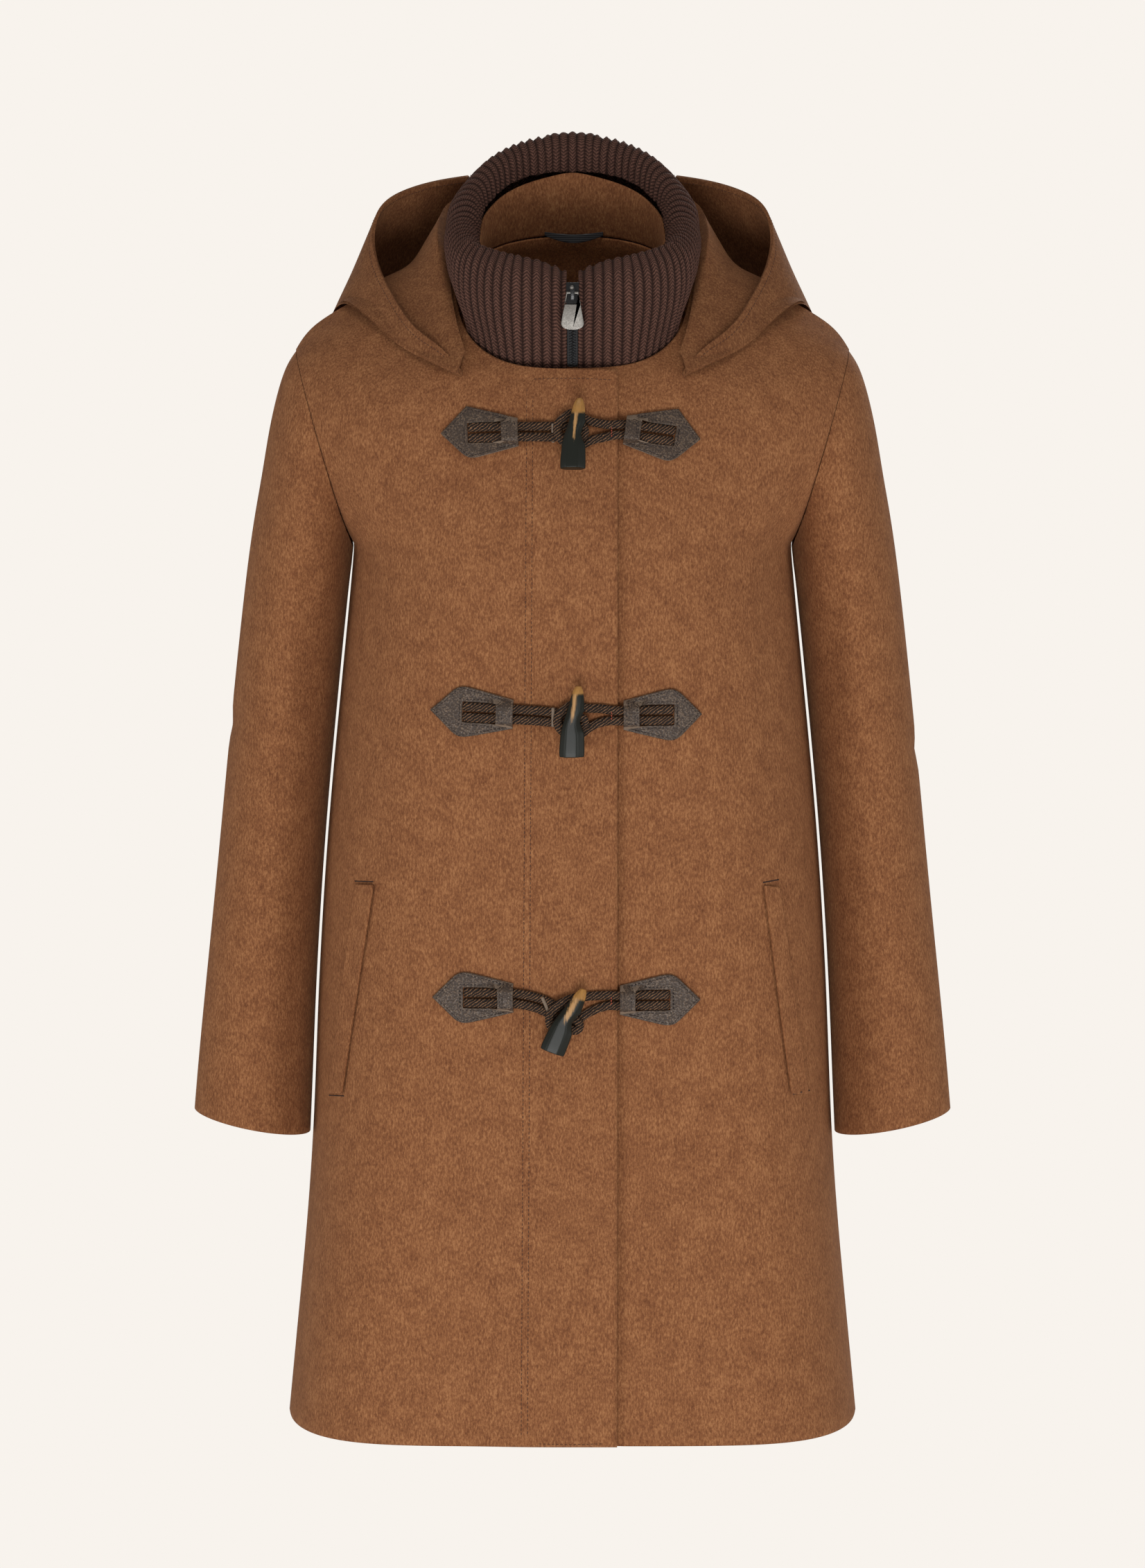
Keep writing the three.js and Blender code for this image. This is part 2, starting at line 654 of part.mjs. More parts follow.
// Hanger loop: a short flat tape whose ends are sewn into the neck seam.
const LOOP = { from: -21, to: 23, middle: 1, tall: 6.5, sag: 3.5, stand: 4, thick: 1 };
const hangerGrid = [-0.5, 0.5].map((edge) => {
  const line = [];
  for (let j = 0; j <= 10; j += 1) {
    const t = j / 10;
    const belly = Math.sin(Math.PI * t);
    const tall = LOOP.tall * mix(0.45, 1, belly);
    const seat = byNeck(1, -14 - FACING, 0);
    const x = mix(LOOP.from, LOOP.to, t);
    line.push(new THREE.Vector3(x, seat.y - 6.4 - LOOP.stand * belly, 1.5 - LOOP.sag * belly + tall * edge));
  }
  return line;
});
addPiece('hanger_loop', wall(hangerGrid, LOOP.thick, { turned: false }), BLACK_TAPE);

// Top of the shell over a place in plan, for what rests on the shoulders.
function shellTop(x, y) {
  const face = y < 0 ? FRONT : BACK;
  let low = ARMPIT.z;
  let high = 0;
  for (let i = 0; i < 24; i += 1) {
    const z = (low + high) / 2;
    const square = face === FRONT ? shellAt.squareFront(z) : shellAt.squareBack(z);
    const depth = face === FRONT ? shellAt.front(z) : shellAt.back(z);
    const inside = (Math.abs(x) / shellAt.half(z)) ** square + (y / depth) ** 2 < 1;
    if (inside) low = z;
    else high = z;
  }
  return low;
}

// Hood: it lies back with its rim open. Lines run from the tip at the front of the neck, over the
// shoulder, to the middle of the back. They are the seam at the neck, the fold beside the knit,
// the floor of the hollow, its outer edge, the middle of the outside, and the rim.
const HOOD = [
  { neck: [77, -88, -90], fold: [77, -90, -91], floor: [77, -92, -94],
    edge: [77, -97, -100], outside: [76, -99, -100], rim: [75, -99, -98] },
  { neck: [84, -70, -64], fold: [88, -72, -66], floor: [92, -80, -78],
    edge: [100, -88, -91], outside: [99, -88, -86], rim: [95, -84, -76] },
  { neck: [90, -46, -42], fold: [94, -46, -40], floor: [106, -60, -60],
    edge: [124, -70, -77], outside: [126, -66, -68], rim: [117, -68, -61] },
  { neck: [93, -22, -24], fold: [99, -18, -14], floor: [118, -28, -44],
    edge: [146, -46, -66], outside: [146, -38, -52], rim: [134, -38, -38] },
  { neck: [92, 0, -13], fold: [101, 8, 4], floor: [124, 8, -38],
    edge: [168, -12, -54], outside: [160, -6, -33], rim: [146, -4, -16] },
  { neck: [88, 20, -9], fold: [99, 28, 14], floor: [126, 40, -46],
    edge: [180, 26, -60], outside: [166, 26, -28], rim: [150, 24, 6] },
  { neck: [80, 42, -4], fold: [92, 52, 24], floor: [116, 76, -78],
    edge: [168, 74, -90], outside: [160, 66, -26], rim: [141, 52, 27] },
  { neck: [60, 64, 0], fold: [68, 76, 34], floor: [88, 104, -118],
    edge: [124, 120, -150], outside: [128, 110, -44], rim: [106, 80, 40] },
  { neck: [30, 76, 3], fold: [36, 87, 41], floor: [46, 120, -150],
    edge: [64, 142, -196], outside: [72, 138, -62], rim: [58, 104, 45] },
  { neck: [0, 79, 4], fold: [0, 91, 43], floor: [0, 124, -160],
    edge: [0, 148, -212], outside: [0, 148, -68], rim: [0, 112, 46] },
];
const HOOD_LINES = ['neck', 'fold', 'floor', 'edge', 'outside', 'rim'];
const HOOD_ROWS = 11;
const HOOD_CLEAR = 4.6;      // of the hood over the coat
const HOOD_SIDE_COLUMNS = 15;
const HOOD_CENTRE_COLUMNS = 8;
const HOOD_SEAM = 0.845;     // share of a line where the side meets the centre strip
const HOOD_TIP = 0.03;
const HOOD_SEAM_GAP = 0.0022;

const hoodCurves = HOOD_LINES.map((key) => {
  const half = HOOD.map((row) => new THREE.Vector3(...row[key]));
  const other = half.slice(0, -1).reverse().map((p) => new THREE.Vector3(-p.x, p.y, p.z));
  return new THREE.CatmullRomCurve3([...half, ...other]);
});

function aboveCoat(point) {
  const rise = shellTop(point.x, point.y) + HOOD_CLEAR - point.z;
  const reach = Math.min(1, Math.abs(point.x) / shellAt.half(point.z));
  const depth = shellAt.back(point.z) * (1 - reach ** shellAt.squareBack(point.z)) ** 0.5;
  const back = depth + HOOD_CLEAR - point.y;
  if (rise <= 0) return point;
  if (point.y > 0 && back < rise) {
    return new THREE.Vector3(point.x, point.y + Math.max(0, back), point.z);
  }
  return new THREE.Vector3(point.x, point.y, point.z + rise);
}

// The place is 0 at the wearer's left tip, 1 at the middle of the back and 2 at the right tip.
function hoodLine(place) {
  const across = new THREE.CatmullRomCurve3(
    hoodCurves.map((curve) => curve.getPoint(place / 2)),
  );
  const line = [];
  for (let i = 0; i <= HOOD_ROWS; i += 1) {
    line.push(aboveCoat(across.getPoint(i / HOOD_ROWS)));
  }
  return line;
}

function hoodPiece(from, to, columns) {
  const lines = [];
  for (let j = 0; j <= columns; j += 1) {
    lines.push(hoodLine(mix(from, to, j / columns)));
  }
  const grid = lines[0].map((_, i) => lines.map((line) => line[i]));
  return wall(grid, WOOL, { turned: false });
}

addPiece(
  'hood_left',
  hoodPiece(HOOD_TIP, HOOD_SEAM - HOOD_SEAM_GAP, HOOD_SIDE_COLUMNS),
  WOOL_BROWN,
);
addPiece(
  'hood_centre',
  hoodPiece(HOOD_SEAM + HOOD_SEAM_GAP, 2 - HOOD_SEAM - HOOD_SEAM_GAP, HOOD_CENTRE_COLUMNS),
  WOOL_BROWN,
);
addPiece(
  'hood_right',
  hoodPiece(2 - HOOD_SEAM + HOOD_SEAM_GAP, 2 - HOOD_TIP, HOOD_SIDE_COLUMNS),
  WOOL_BROWN,
);

// A place on the outside of a panel, found on its own faces, seen from the front.
function onPanel(grid, x, z) {
  for (let i = 0; i < grid.length - 1; i += 1) {
    for (let j = 0; j < grid[i].length - 1; j += 1) {
      const [a, b, c, d] = [grid[i][j], grid[i][j + 1], grid[i + 1][j + 1], grid[i + 1][j]];
      for (const [p, q, r] of [[a, b, c], [a, c, d]]) {
        const whole = (q.x - p.x) * (r.z - p.z) - (r.x - p.x) * (q.z - p.z);
        const v = ((x - p.x) * (r.z - p.z) - (r.x - p.x) * (z - p.z)) / whole;
        const w = ((q.x - p.x) * (z - p.z) - (x - p.x) * (q.z - p.z)) / whole;
        if (v >= -1e-6 && w >= -1e-6 && v + w <= 1 + 1e-6) {
          return p.y + v * (q.y - p.y) + w * (r.y - p.y);
        }
      }
    }
  }
  throw new Error(`no panel at ${x}, ${z}`);
}

// The surfaces that trim lies on, as the depth at a place seen from the front.
const onRight = (x, z) => onPanel(rightFront, x, z);
const onLeft = (x, z) => onPanel(leftFront, x, z);

// The cords step down from the upper front to the lower one just past the placket's edge.
const STEP_FROM = OVERLAP + 1.4;
const STEP_OVER = 7;
const onUpper = (x, z) => onRight(Math.min(x, OVERLAP - 0.2), z);
const onFronts = (x, z) => (
  x <= STEP_FROM ? onUpper(x, z) : mix(onUpper(x, z), onLeft(x, z), smooth((x - STEP_FROM) / STEP_OVER))
);

function outwardAt(surface, x, z) {
  const reach = 4;
  const slopeX = (surface(x + reach, z) - surface(x - reach, z)) / (2 * reach);
  const slopeZ = (surface(x, z + reach) - surface(x, z - reach)) / (2 * reach);
  return new THREE.Vector3(slopeX, -1, slopeZ).normalize();
}

const CLOTH_CLEAR = 0.65;
const CORD_WIDE = 6.8;
const CORD_THICK = 3.8;
const CORD_APART = 3.8;      // of each run of a cord from its pair's middle line
const OVER_CORD = CORD_THICK + 1.1;

// Each closure, seen from the front. Its patches: where they start, how far their tips drop in
// degrees and their length. Its toggle: the middle, and how far it leans past the first one.
const CLOSURES = [
  {
    right: { x: -39.5, z: -135, drop: 2.1, length: 56.5 },
    left: { x: 38.2, z: -133.7, drop: 7.9, length: 55.5 },
    toggle: { x: 2.6, z: -138.6, lean: 0 },
    spine: [[-25, 0], [-14, 0], [-5, 0], [-1, 2.6], [2.6, 4.9], [5.2, 5]],
    sag: [0, 0, 0, 0.3, 0.6, 0.8],
    loopDrop: 0.3,
  },
  {
    right: { x: -43.3, z: -339.5, drop: -1.8, length: 60 },
    left: { x: 37.2, z: -340.5, drop: 0, length: 57 },
    toggle: { x: 1.8, z: -342.6, lean: 0 },
    spine: [[-25, 0], [-14, 0], [-5, 0], [-1, 2.6], [2.6, 4.9], [5.2, 5]],
    sag: [0.8, 2, 3.2, 3.8, 4.4, 5],
    loopDrop: 3.6,
  },
  {
    right: { x: -43.3, z: -549.4, drop: 0.3, length: 59.5 },
    left: { x: 34.8, z: -551.3, drop: 0, length: 59 },
    toggle: { x: -3.5, z: -563.8, lean: 21 },
    spine: [[-31, 0], [-21, 0], [-13.5, 0], [-8, 1.2], [-4, 4.3], [1.6, 5]],
    sag: [1.6, 4.9, 9.2, 13, 15.8, 19.4],
    loopDrop: 0,
  },
];
const PATCH = { shoulder: 0.655, tall: 40.5, end: 21.5, thick: 1.8 };
const WINDOW = { from: 11.4, to: 37, tall: 15.4 };

// Leather patch: five-sided, with a window in which the cords show. Side is 1 on the wearer's left.
function patchPiece({ x, z, drop, length }, side) {
  const angle = drop * Math.PI / 180;
  const surface = side < 0 ? onRight : onLeft;
  const lean = -outwardAt(surface, x + side * length / 2, z).y;
  const wide = PATCH.shoulder * length;
  const outline = [
    [0, PATCH.end / 2], [wide, PATCH.tall / 2], [length, 0],
    [wide, -PATCH.tall / 2], [0, -PATCH.end / 2],
  ];
  const window = [
    [WINDOW.from, WINDOW.tall / 2], [WINDOW.to, WINDOW.tall / 2],
    [WINDOW.to, -WINDOW.tall / 2], [WINDOW.from, -WINDOW.tall / 2],
  ];
  const middle = (WINDOW.from + WINDOW.to) / 2;
  const between = [
    [0, 7.6], [0, 0], [0, -7.6], [14, 14], [26, 18], [14, -14], [26, -18], [50, 6.5], [50, -6.5],
  ];
  const headings = [...outline, ...window, ...between].map(([a, b]) => Math.atan2(b, a - middle));
  headings.sort((a, b) => a - b);
  const reachOf = (shape, heading) => {
    let best = Infinity;
    for (let i = 0; i < shape.length; i += 1) {
      const next = shape[(i + 1) % shape.length];
      const [ax, az] = [shape[i][0] - middle, shape[i][1]];
      const [bx, bz] = [next[0] - middle, next[1]];
      const [dx, dz] = [Math.cos(heading), Math.sin(heading)];
      const whole = dx * (bz - az) - dz * (bx - ax);
      const far = (ax * (bz - az) - az * (bx - ax)) / whole;
      const at = (ax * dz - az * dx) / whole;
      if (far > 0 && at >= -1e-6 && at <= 1 + 1e-6) best = Math.min(best, far);
    }
    return best;
  };
  const place = (along, up, over) => {
    const px = x + side * (along * Math.cos(angle) + up * Math.sin(angle));
    const pz = z + (up * Math.cos(angle) - along * Math.sin(angle)) * lean;
    const cover = (1 - smooth((Math.abs(up) - 7.7) / 1.5)) * (1 - smooth((along - WINDOW.from) / 1.2));
    const flat = surface(px, pz);
    const base = mix(flat, onFronts(px, pz), cover);
    const lift = mix(CLOTH_CLEAR, CORD_THICK + 2.8 * CLOTH_CLEAR, cover) + over;
    const point = new THREE.Vector3(px, base, pz);
    return point.addScaledVector(outwardAt(surface, px, pz), lift);
  };
  const rings = [1, 0.5, 0].map((share) => headings.map((heading) => {
    const reach = mix(reachOf(window, heading), reachOf(outline, heading), share);
    return [middle + reach * Math.cos(heading), reach * Math.sin(heading)];
  }));
  const faces = new Faces();
  const under = rings.map((ring) => ring.map(([a, b]) => faces.add(place(a, b, 0))));
  const over = rings.map((ring) => ring.map(([a, b]) => faces.add(place(a, b, PATCH.thick))));
  const count = headings.length;
  const last = rings.length - 1;
  for (let j = 0; j < count; j += 1) {
    const k = (j + 1) % count;
    for (let i = 0; i < last; i += 1) {
      faces.quad(over[i][j], over[i][k], over[i + 1][k], over[i + 1][j]);
      faces.quad(under[i][j], under[i + 1][j], under[i + 1][k], under[i][k]);
    }
    faces.quad(over[0][j], under[0][j], under[0][k], over[0][k]);
    faces.quad(over[last][j], over[last][k], under[last][k], under[last][j]);
  }
  return faces.geometry();
}

// A tube of rings whose ends are closed.
function closedTube(faces, rings) {
  const sides = rings[0].length;
  for (let i = 0; i < rings.length - 1; i += 1) {
    for (let j = 0; j < sides; j += 1) {
      const k = (j + 1) % sides;
      faces.quad(rings[i][j], rings[i][k], rings[i + 1][k], rings[i + 1][j]);
    }
  }
  const end = rings[rings.length - 1];
  for (let j = 1; j < sides - 1; j += 1) {
    faces.triangles.push([rings[0][0], rings[0][j + 1], rings[0][j]]);
    faces.triangles.push([end[0], end[j], end[j + 1]]);
  }
  return faces.geometry();
}

// A flat cord through a line of places: x, height, and how high its back lies over the coat. Its
// ends are pressed thin where they go under the leather.
const CORD_SIDES = 8;
function cordPiece(line) {
  const faces = new Faces();
  const frames = line.map(([x, z, lift], i) => {
    const atEnd = i === 0 || i === line.length - 1;
    const thick = atEnd ? CORD_THICK * 0.4 : CORD_THICK;
    const out = outwardAt(x > STEP_FROM ? onLeft : onUpper, x, z);
    const point = new THREE.Vector3(x, onFronts(x, z), z);
    point.addScaledVector(out, CLOTH_CLEAR + lift + thick / 2);
    return { point, out, thick };
  });
  const rings = frames.map(({ point, out, thick }, i) => {
    const ahead = frames[Math.min(i + 1, frames.length - 1)].point;
    const behind = frames[Math.max(i - 1, 0)].point;
    const along = ahead.clone().sub(behind).normalize();
    const across = along.clone().cross(out).normalize();
    const face = across.clone().cross(along).normalize();
    const ring = [];
    for (let j = 0; j < CORD_SIDES; j += 1) {
      const angle = 2 * Math.PI * (j + 0.5) / CORD_SIDES;
      ring.push(faces.add(point.clone()
        .addScaledVector(across, Math.cos(angle) * CORD_WIDE / 2 / Math.cos(Math.PI / CORD_SIDES))
        .addScaledVector(face, Math.sin(angle) * thick / 2 / Math.cos(Math.PI / CORD_SIDES))));
    }
    return ring;
  });
  return closedTube(faces, rings);
}

// Where a cord's pair runs inside its patch, from the window's far end to the patch's edge.
function insidePatch({ x, z, drop }, side, up = 0) {
  const [level, fall] = [Math.cos(drop * Math.PI / 180), Math.sin(drop * Math.PI / 180)];
  return [WINDOW.to - 0.5, WINDOW.to - 3, WINDOW.from + 1.6, 5.7, 0.4].map((along) => [
    x + side * (along * level + up * fall), z + up * level - along * fall, 0,
  ]);
}

// The cord that holds the toggle: out from its patch, under the other cord, round behind the
// toggle and back. Its fold shows in the toggle's notch.
function toggleCord({ right, spine, sag }) {
  const middle = [
    ...insidePatch(right, -1),
    ...spine.map(([x, lift], i) => [x, right.z - sag[i], lift]),
  ];
  const last = middle.length - 1;
  const heading = middle.map((_, i) => {
    const [ax, az] = middle[Math.max(i - 1, 0)];
    const [bx, bz] = middle[Math.min(i + 1, last)];
    return Math.atan2(bz - az, bx - ax);
  });
  const run = (side) => middle.map(([x, z, lift], i) => [
    x - side * CORD_APART * Math.sin(heading[i]), z + side * CORD_APART * Math.cos(heading[i]), lift,
  ]);
  const fold = [60, 30, 0, -30, -60].map((degrees) => {
    const turn = degrees * Math.PI / 180 + heading[last];
    const [x, z, lift] = middle[last];
    return [x + CORD_APART * Math.cos(turn), z + CORD_APART * Math.sin(turn), lift];
  });
  return [...run(1), ...fold, ...run(-1).reverse()];
}

// The cord that goes over the toggle: out from the other patch as a pair, apart behind the
// toggle, and round over the first cord on its far side. x, height and lift from the bar tack on.
const LEVEL_LOOP = [
  [27, 3.9, 0], [20, 5.2, 0], [13.5, 6.3, 0], [9, 8.4, 0], [5, 11.2, 0.2], [1, 11.8, 1.6],
  [-1.6, 11.7, 3.6], [-4.5, 9.6, OVER_CORD], [-8, 7, OVER_CORD], [-10.4, 3.9, OVER_CORD],
];
const SLUNG_LOOP = {
  upper: [
    [27, 2.5, 0], [20, 2.2, 0], [13.5, 1.8, 0], [7, 1.4, 0.3], [1, 0.9, 2.4], [-4.4, -0.6, OVER_CORD],
    [-9.6, -3.2, OVER_CORD], [-14, -7, OVER_CORD],
  ],
  end: [[-17.4, -12.6, OVER_CORD]],
  lower: [
    [27, -4.9, 0], [20, -6.8, 0], [13.5, -9.4, 0], [8, -12.6, 0], [2.5, -17.4, 0], [-2, -23.4, 0],
    [-6.6, -27.4, 1.8], [-12.4, -25.2, OVER_CORD], [-16.8, -19.2, OVER_CORD],
  ],
};

function loopCord({ left, right, toggle, loopDrop }) {
  const pair = (up) => [
    ...insidePatch(left, 1, up * CORD_APART),
    [STEP_FROM - 0.2, left.z + 0.1 + up * CORD_APART, 0],
    [OVERLAP - 2.5, left.z + 0.2 + up * CORD_APART, 0],
  ];
  if (toggle.lean > 0) {
    const place = ([x, up, lift]) => [x, right.z + up, lift];
    const back = [...SLUNG_LOOP.lower].reverse().map(place);
    return [
      ...pair(1), ...SLUNG_LOOP.upper.map(place), ...SLUNG_LOOP.end.map(place), ...back,
      ...pair(-1).reverse(),
    ];
  }
  const level = (left.z + right.z) / 2;
  const sunk = (x) => level - loopDrop * smooth((20 - x) / 15);
  const upper = LEVEL_LOOP.map(([x, up, lift]) => [x, sunk(x) + up, lift]);
  const lower = LEVEL_LOOP.map(([x, up, lift]) => [x, sunk(x) - up, lift]).reverse();
  const end = [-11.2, sunk(-11.2), OVER_CORD];
  return [...pair(1), ...upper, end, ...lower, ...pair(-1).reverse()];
}

// Horn toggle: for each share of its length down from the tip, its left and right edge seen from
// the front, and its depth. The notch on one side is where the cord's fold shows.
const TOGGLE = [
  { at: 0, from: 1, to: 4.4, depth: 3 },
  { at: 0.04, from: -0.9, to: 5.6, depth: 5.5 },
  { at: 0.13, from: -2.6, to: 6.6, depth: 8 },
  { at: 0.34, from: -5.4, to: 6.9, depth: 10 },
  { at: 0.42, from: -6.8, to: 4.9, depth: 10.4 },
  { at: 0.51, from: -8.4, to: 3.7, depth: 10.6 },
  { at: 0.6, from: -9.6, to: 4.8, depth: 10.8 },
  { at: 0.66, from: -10.4, to: 6.7, depth: 11 },
  { at: 0.95, from: -11.8, to: 7.1, depth: 11.4 },
  { at: 1, from: -11.2, to: 6.6, depth: 10.6 },
];
const TOGGLE_STAND = CLOTH_CLEAR + OVER_CORD + CORD_THICK + 0.25;  // of its back over the coat
const TOGGLE_SECTION = [
  [0.16, 0], [0, 0.3], [0, 0.68], [0.22, 1], [0.7, 1], [1, 0.62], [1, 0.3], [0.84, 0],
];
const TOGGLE_DEEP = 11.4;

function togglePiece({ toggle }) {
  const angle = toggle.lean * Math.PI / 180;
  const faces = new Faces();
  const out = outwardAt(onRight, 0, toggle.z);
  const seat = new THREE.Vector3(toggle.x, onRight(toggle.x, toggle.z), toggle.z);
  const down = new THREE.Vector3(0, out.z, -out.y).normalize().multiplyScalar(-1);
  const rings = TOGGLE.map((row) => TOGGLE_SECTION.map(([across, deep]) => {
    const x = mix(row.from, row.to, across);
    const fall = (row.at - 0.5) * TOGGLE_LENGTH;
    const lift = TOGGLE_STAND + (TOGGLE_DEEP - row.depth) / 2 + deep * row.depth;
    return faces.add(seat.clone()
      .add(new THREE.Vector3(x * Math.cos(angle) - fall * Math.sin(angle), 0, 0))
      .addScaledVector(down, fall * Math.cos(angle) + x * Math.sin(angle))
      .addScaledVector(out, lift));
  }));
  return closedTube(faces, rings);
}

for (const [i, closure] of CLOSURES.entries()) {
  addPiece(`patch_right_${i + 1}`, patchPiece(closure.right, -1), LEATHER, 0.55);
  addPiece(`patch_left_${i + 1}`, patchPiece(closure.left, 1), LEATHER, 0.55);
  addPiece(`toggle_cord_${i + 1}`, cordPiece(toggleCord(closure)), CORD, 0.8);
  addPiece(`loop_cord_${i + 1}`, cordPiece(loopCord(closure)), CORD, 0.8);
  addPiece(`toggle_${i + 1}`, togglePiece(closure), HORN, 0.25);
}

// Pocket welts: a strip of the wool on each front, along the slanting pocket mouth.
const WELT = 1.8;
const WELT_ROWS = 9;
const WELT_RIGHT = {
  inner: [{ x: -145.7, z: -469.7 }, { x: -169.7, z: -627.6 }],
  outer: [{ x: -159.4, z: -471.7 }, { x: -180.1, z: -630.7 }],
};
const WELT_LEFT = {
  inner: [{ x: 140.1, z: -469.5 }, { x: 160.8, z: -626.2 }],
  outer: [{ x: 151.6, z: -472.4 }, { x: 173.6, z: -629.1 }],
};

function weltPiece({ inner, outer }, surface, turned) {
  const grid = [];
  for (let i = 0; i <= WELT_ROWS; i += 1) {
    const t = i / WELT_ROWS;
    grid.push([0, 1 / 3, 2 / 3, 1].map((share) => {
      const x = mix(mix(inner[1].x, inner[0].x, t), mix(outer[1].x, outer[0].x, t), share);
      const z = mix(mix(inner[1].z, inner[0].z, t), mix(outer[1].z, outer[0].z, t), share);
      const point = new THREE.Vector3(x, surface(x, z), z);
      return point.addScaledVector(outwardAt(surface, x, z), CLOTH_CLEAR + WELT);
    }));
  }
  return wall(grid, WELT, { turned });
}

addPiece('welt_right', weltPiece(WELT_RIGHT, onRight, true), WOOL_BROWN);
addPiece('welt_left', weltPiece(WELT_LEFT, onLeft, false), WOOL_BROWN);

// Zip: two tapes along the collar's front edges, the slider near the fold, and its pull tab.
// The depth of the tapes follows the collar's front.
const ZIP_LINE = [
  { y: -91.5, z: -89 },
  { y: -94.2, z: -80 },
  { y: -98.6, z: -64 },
  { y: -101.1, z: -50 },
  { y: -101.2, z: -40 },
  { y: -97.6, z: -29 },
];
const TAPE = 1.6;
const ZIP_GAP = 0.3;
const tapeGrid = ZIP_LINE.map(({ y, z }) => (
  [ZIP_GAP, ZIP_HALF - ZIP_GAP].map((x) => new THREE.Vector3(x, y, z))
));
addPiece('zip_tape_left', wall(tapeGrid, TAPE), BLACK_TAPE, 0.6);
addPiece('zip_tape_right', wall(mirrored(tapeGrid), TAPE, { turned: true }), BLACK_TAPE, 0.6);

function box(wide, deep, tall, x, y, z) {
  return wasm.Manifold.cube([wide, deep, tall], true).translate([x, y, z]);
}

function fromSolid(solid) {
  const mesh = solid.getMesh();
  const shape = new THREE.BufferGeometry();
  const places = [];
  for (let i = 0; i < mesh.vertProperties.length; i += mesh.numProp) {
    places.push(mesh.vertProperties[i], mesh.vertProperties[i + 1], mesh.vertProperties[i + 2]);
  }
  shape.setAttribute('position', new THREE.Float32BufferAttribute(places, 3));
  shape.setIndex(Array.from(mesh.triVerts));
  shape.computeVertexNormals();
  return shape;
}

const PIVOT = { y: -105.6, z: -34 };
const SLIDER = { wide: 9.4, deep: 1.8, tall: 17, y: -102, z: -35, lean: 9 };
const BRIDGE = { wide: 3, tall: 10, from: -102.2, to: -108.2 };
const SLOT = { deep: 2.8, tall: 5 };
const plate = box(SLIDER.wide, SLIDER.deep, SLIDER.tall, 0, 0, 0)
  .rotate([-SLIDER.lean, 0, 0])
  .translate([0, SLIDER.y, SLIDER.z]);
const bridgeDeep = BRIDGE.from - BRIDGE.to;
const bridge = box(BRIDGE.wide, bridgeDeep, BRIDGE.tall, 0, BRIDGE.from - bridgeDeep / 2, PIVOT.z)
  .subtract(box(BRIDGE.wide * 2, SLOT.deep, SLOT.tall, 0, PIVOT.y, PIVOT.z));
addPiece('zip_slider', fromSolid(plate.add(bridge)), BLACK_METAL, 0.35, 0.8);

// Pull tab: a pendant that widens to a rounded end, hung by a bar through the slider's bridge.
const PULL = { thick: 1.5, bar: 1.5, topHalf: 4.3, endHalf: 8.3, length: 27, eyeHalf: 2.5, eye: 8.5 };
const outline = new THREE.Shape();
outline.moveTo(-PULL.topHalf, PULL.bar / 2);
outline.lineTo(PULL.topHalf, PULL.bar / 2);
outline.lineTo(PULL.endHalf, -PULL.length + 5);
outline.quadraticCurveTo(PULL.endHalf, -PULL.length, 0, -PULL.length);
outline.quadraticCurveTo(-PULL.endHalf, -PULL.length, -PULL.endHalf, -PULL.length + 5);
outline.closePath();
const eye = new THREE.Path();
eye.moveTo(-PULL.eyeHalf, -PULL.bar / 2);
eye.lineTo(-PULL.eyeHalf, -PULL.eye);
eye.lineTo(PULL.eyeHalf, -PULL.eye);
eye.lineTo(PULL.eyeHalf, -PULL.bar / 2);
eye.closePath();
outline.holes.push(eye);
const pendant = new THREE.ExtrudeGeometry(outline, {
  depth: PULL.thick,
  bevelEnabled: false,
  curveSegments: 6,
});
pendant.deleteAttribute('uv');
pendant.deleteAttribute('normal');
const pull = mergeVertices(pendant, 1e-4);
pull.translate(0, 0, -PULL.thick / 2);
pull.rotateX(Math.PI / 2);
pull.translate(0, PIVOT.y, PIVOT.z);
pull.computeVertexNormals();
addPiece('zip_pull', pull, SILVER, 0.3, 0.9);

export default coat;
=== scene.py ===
"""A brown wool duffle coat, filled out with no wearer: rib-knit collar with a zip, a hood lying back,
three horn toggles on cords. Metres, in the frame of the CAD model; small sizes are in mm, times MM."""
import math

import bmesh
import bpy
import numpy as np
from mathutils import Matrix, Vector
from mathutils.bvhtree import BVHTree


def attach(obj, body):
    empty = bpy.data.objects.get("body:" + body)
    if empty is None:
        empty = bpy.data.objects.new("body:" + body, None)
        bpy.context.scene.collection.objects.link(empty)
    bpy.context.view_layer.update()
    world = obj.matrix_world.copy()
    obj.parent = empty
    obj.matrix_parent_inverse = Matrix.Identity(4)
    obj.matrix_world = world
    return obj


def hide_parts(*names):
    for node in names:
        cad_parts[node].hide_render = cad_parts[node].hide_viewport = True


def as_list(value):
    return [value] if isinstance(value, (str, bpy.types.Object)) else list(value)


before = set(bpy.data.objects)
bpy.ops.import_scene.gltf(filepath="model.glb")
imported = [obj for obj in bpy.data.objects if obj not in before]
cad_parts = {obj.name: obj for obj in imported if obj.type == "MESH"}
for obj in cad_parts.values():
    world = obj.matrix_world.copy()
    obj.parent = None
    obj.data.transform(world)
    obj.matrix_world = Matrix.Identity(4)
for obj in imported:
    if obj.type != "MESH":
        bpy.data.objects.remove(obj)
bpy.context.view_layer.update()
MM = 0.001

# Camera: 5.5 m from the coat's middle, looking 7 degrees down on it. A pixel of the photograph,
# which is 1652 by 2262 of them, is 0.52 mm of the coat. A ray through one finds stitched lines.
VIEW_DOWN = math.radians(7)
VIEW_FAR = 5.5
VIEW_MIDDLE = -408.07 * MM
PIXEL = 0.52 * MM
PHOTO_WIDE, PHOTO_TALL = 1652, 2262

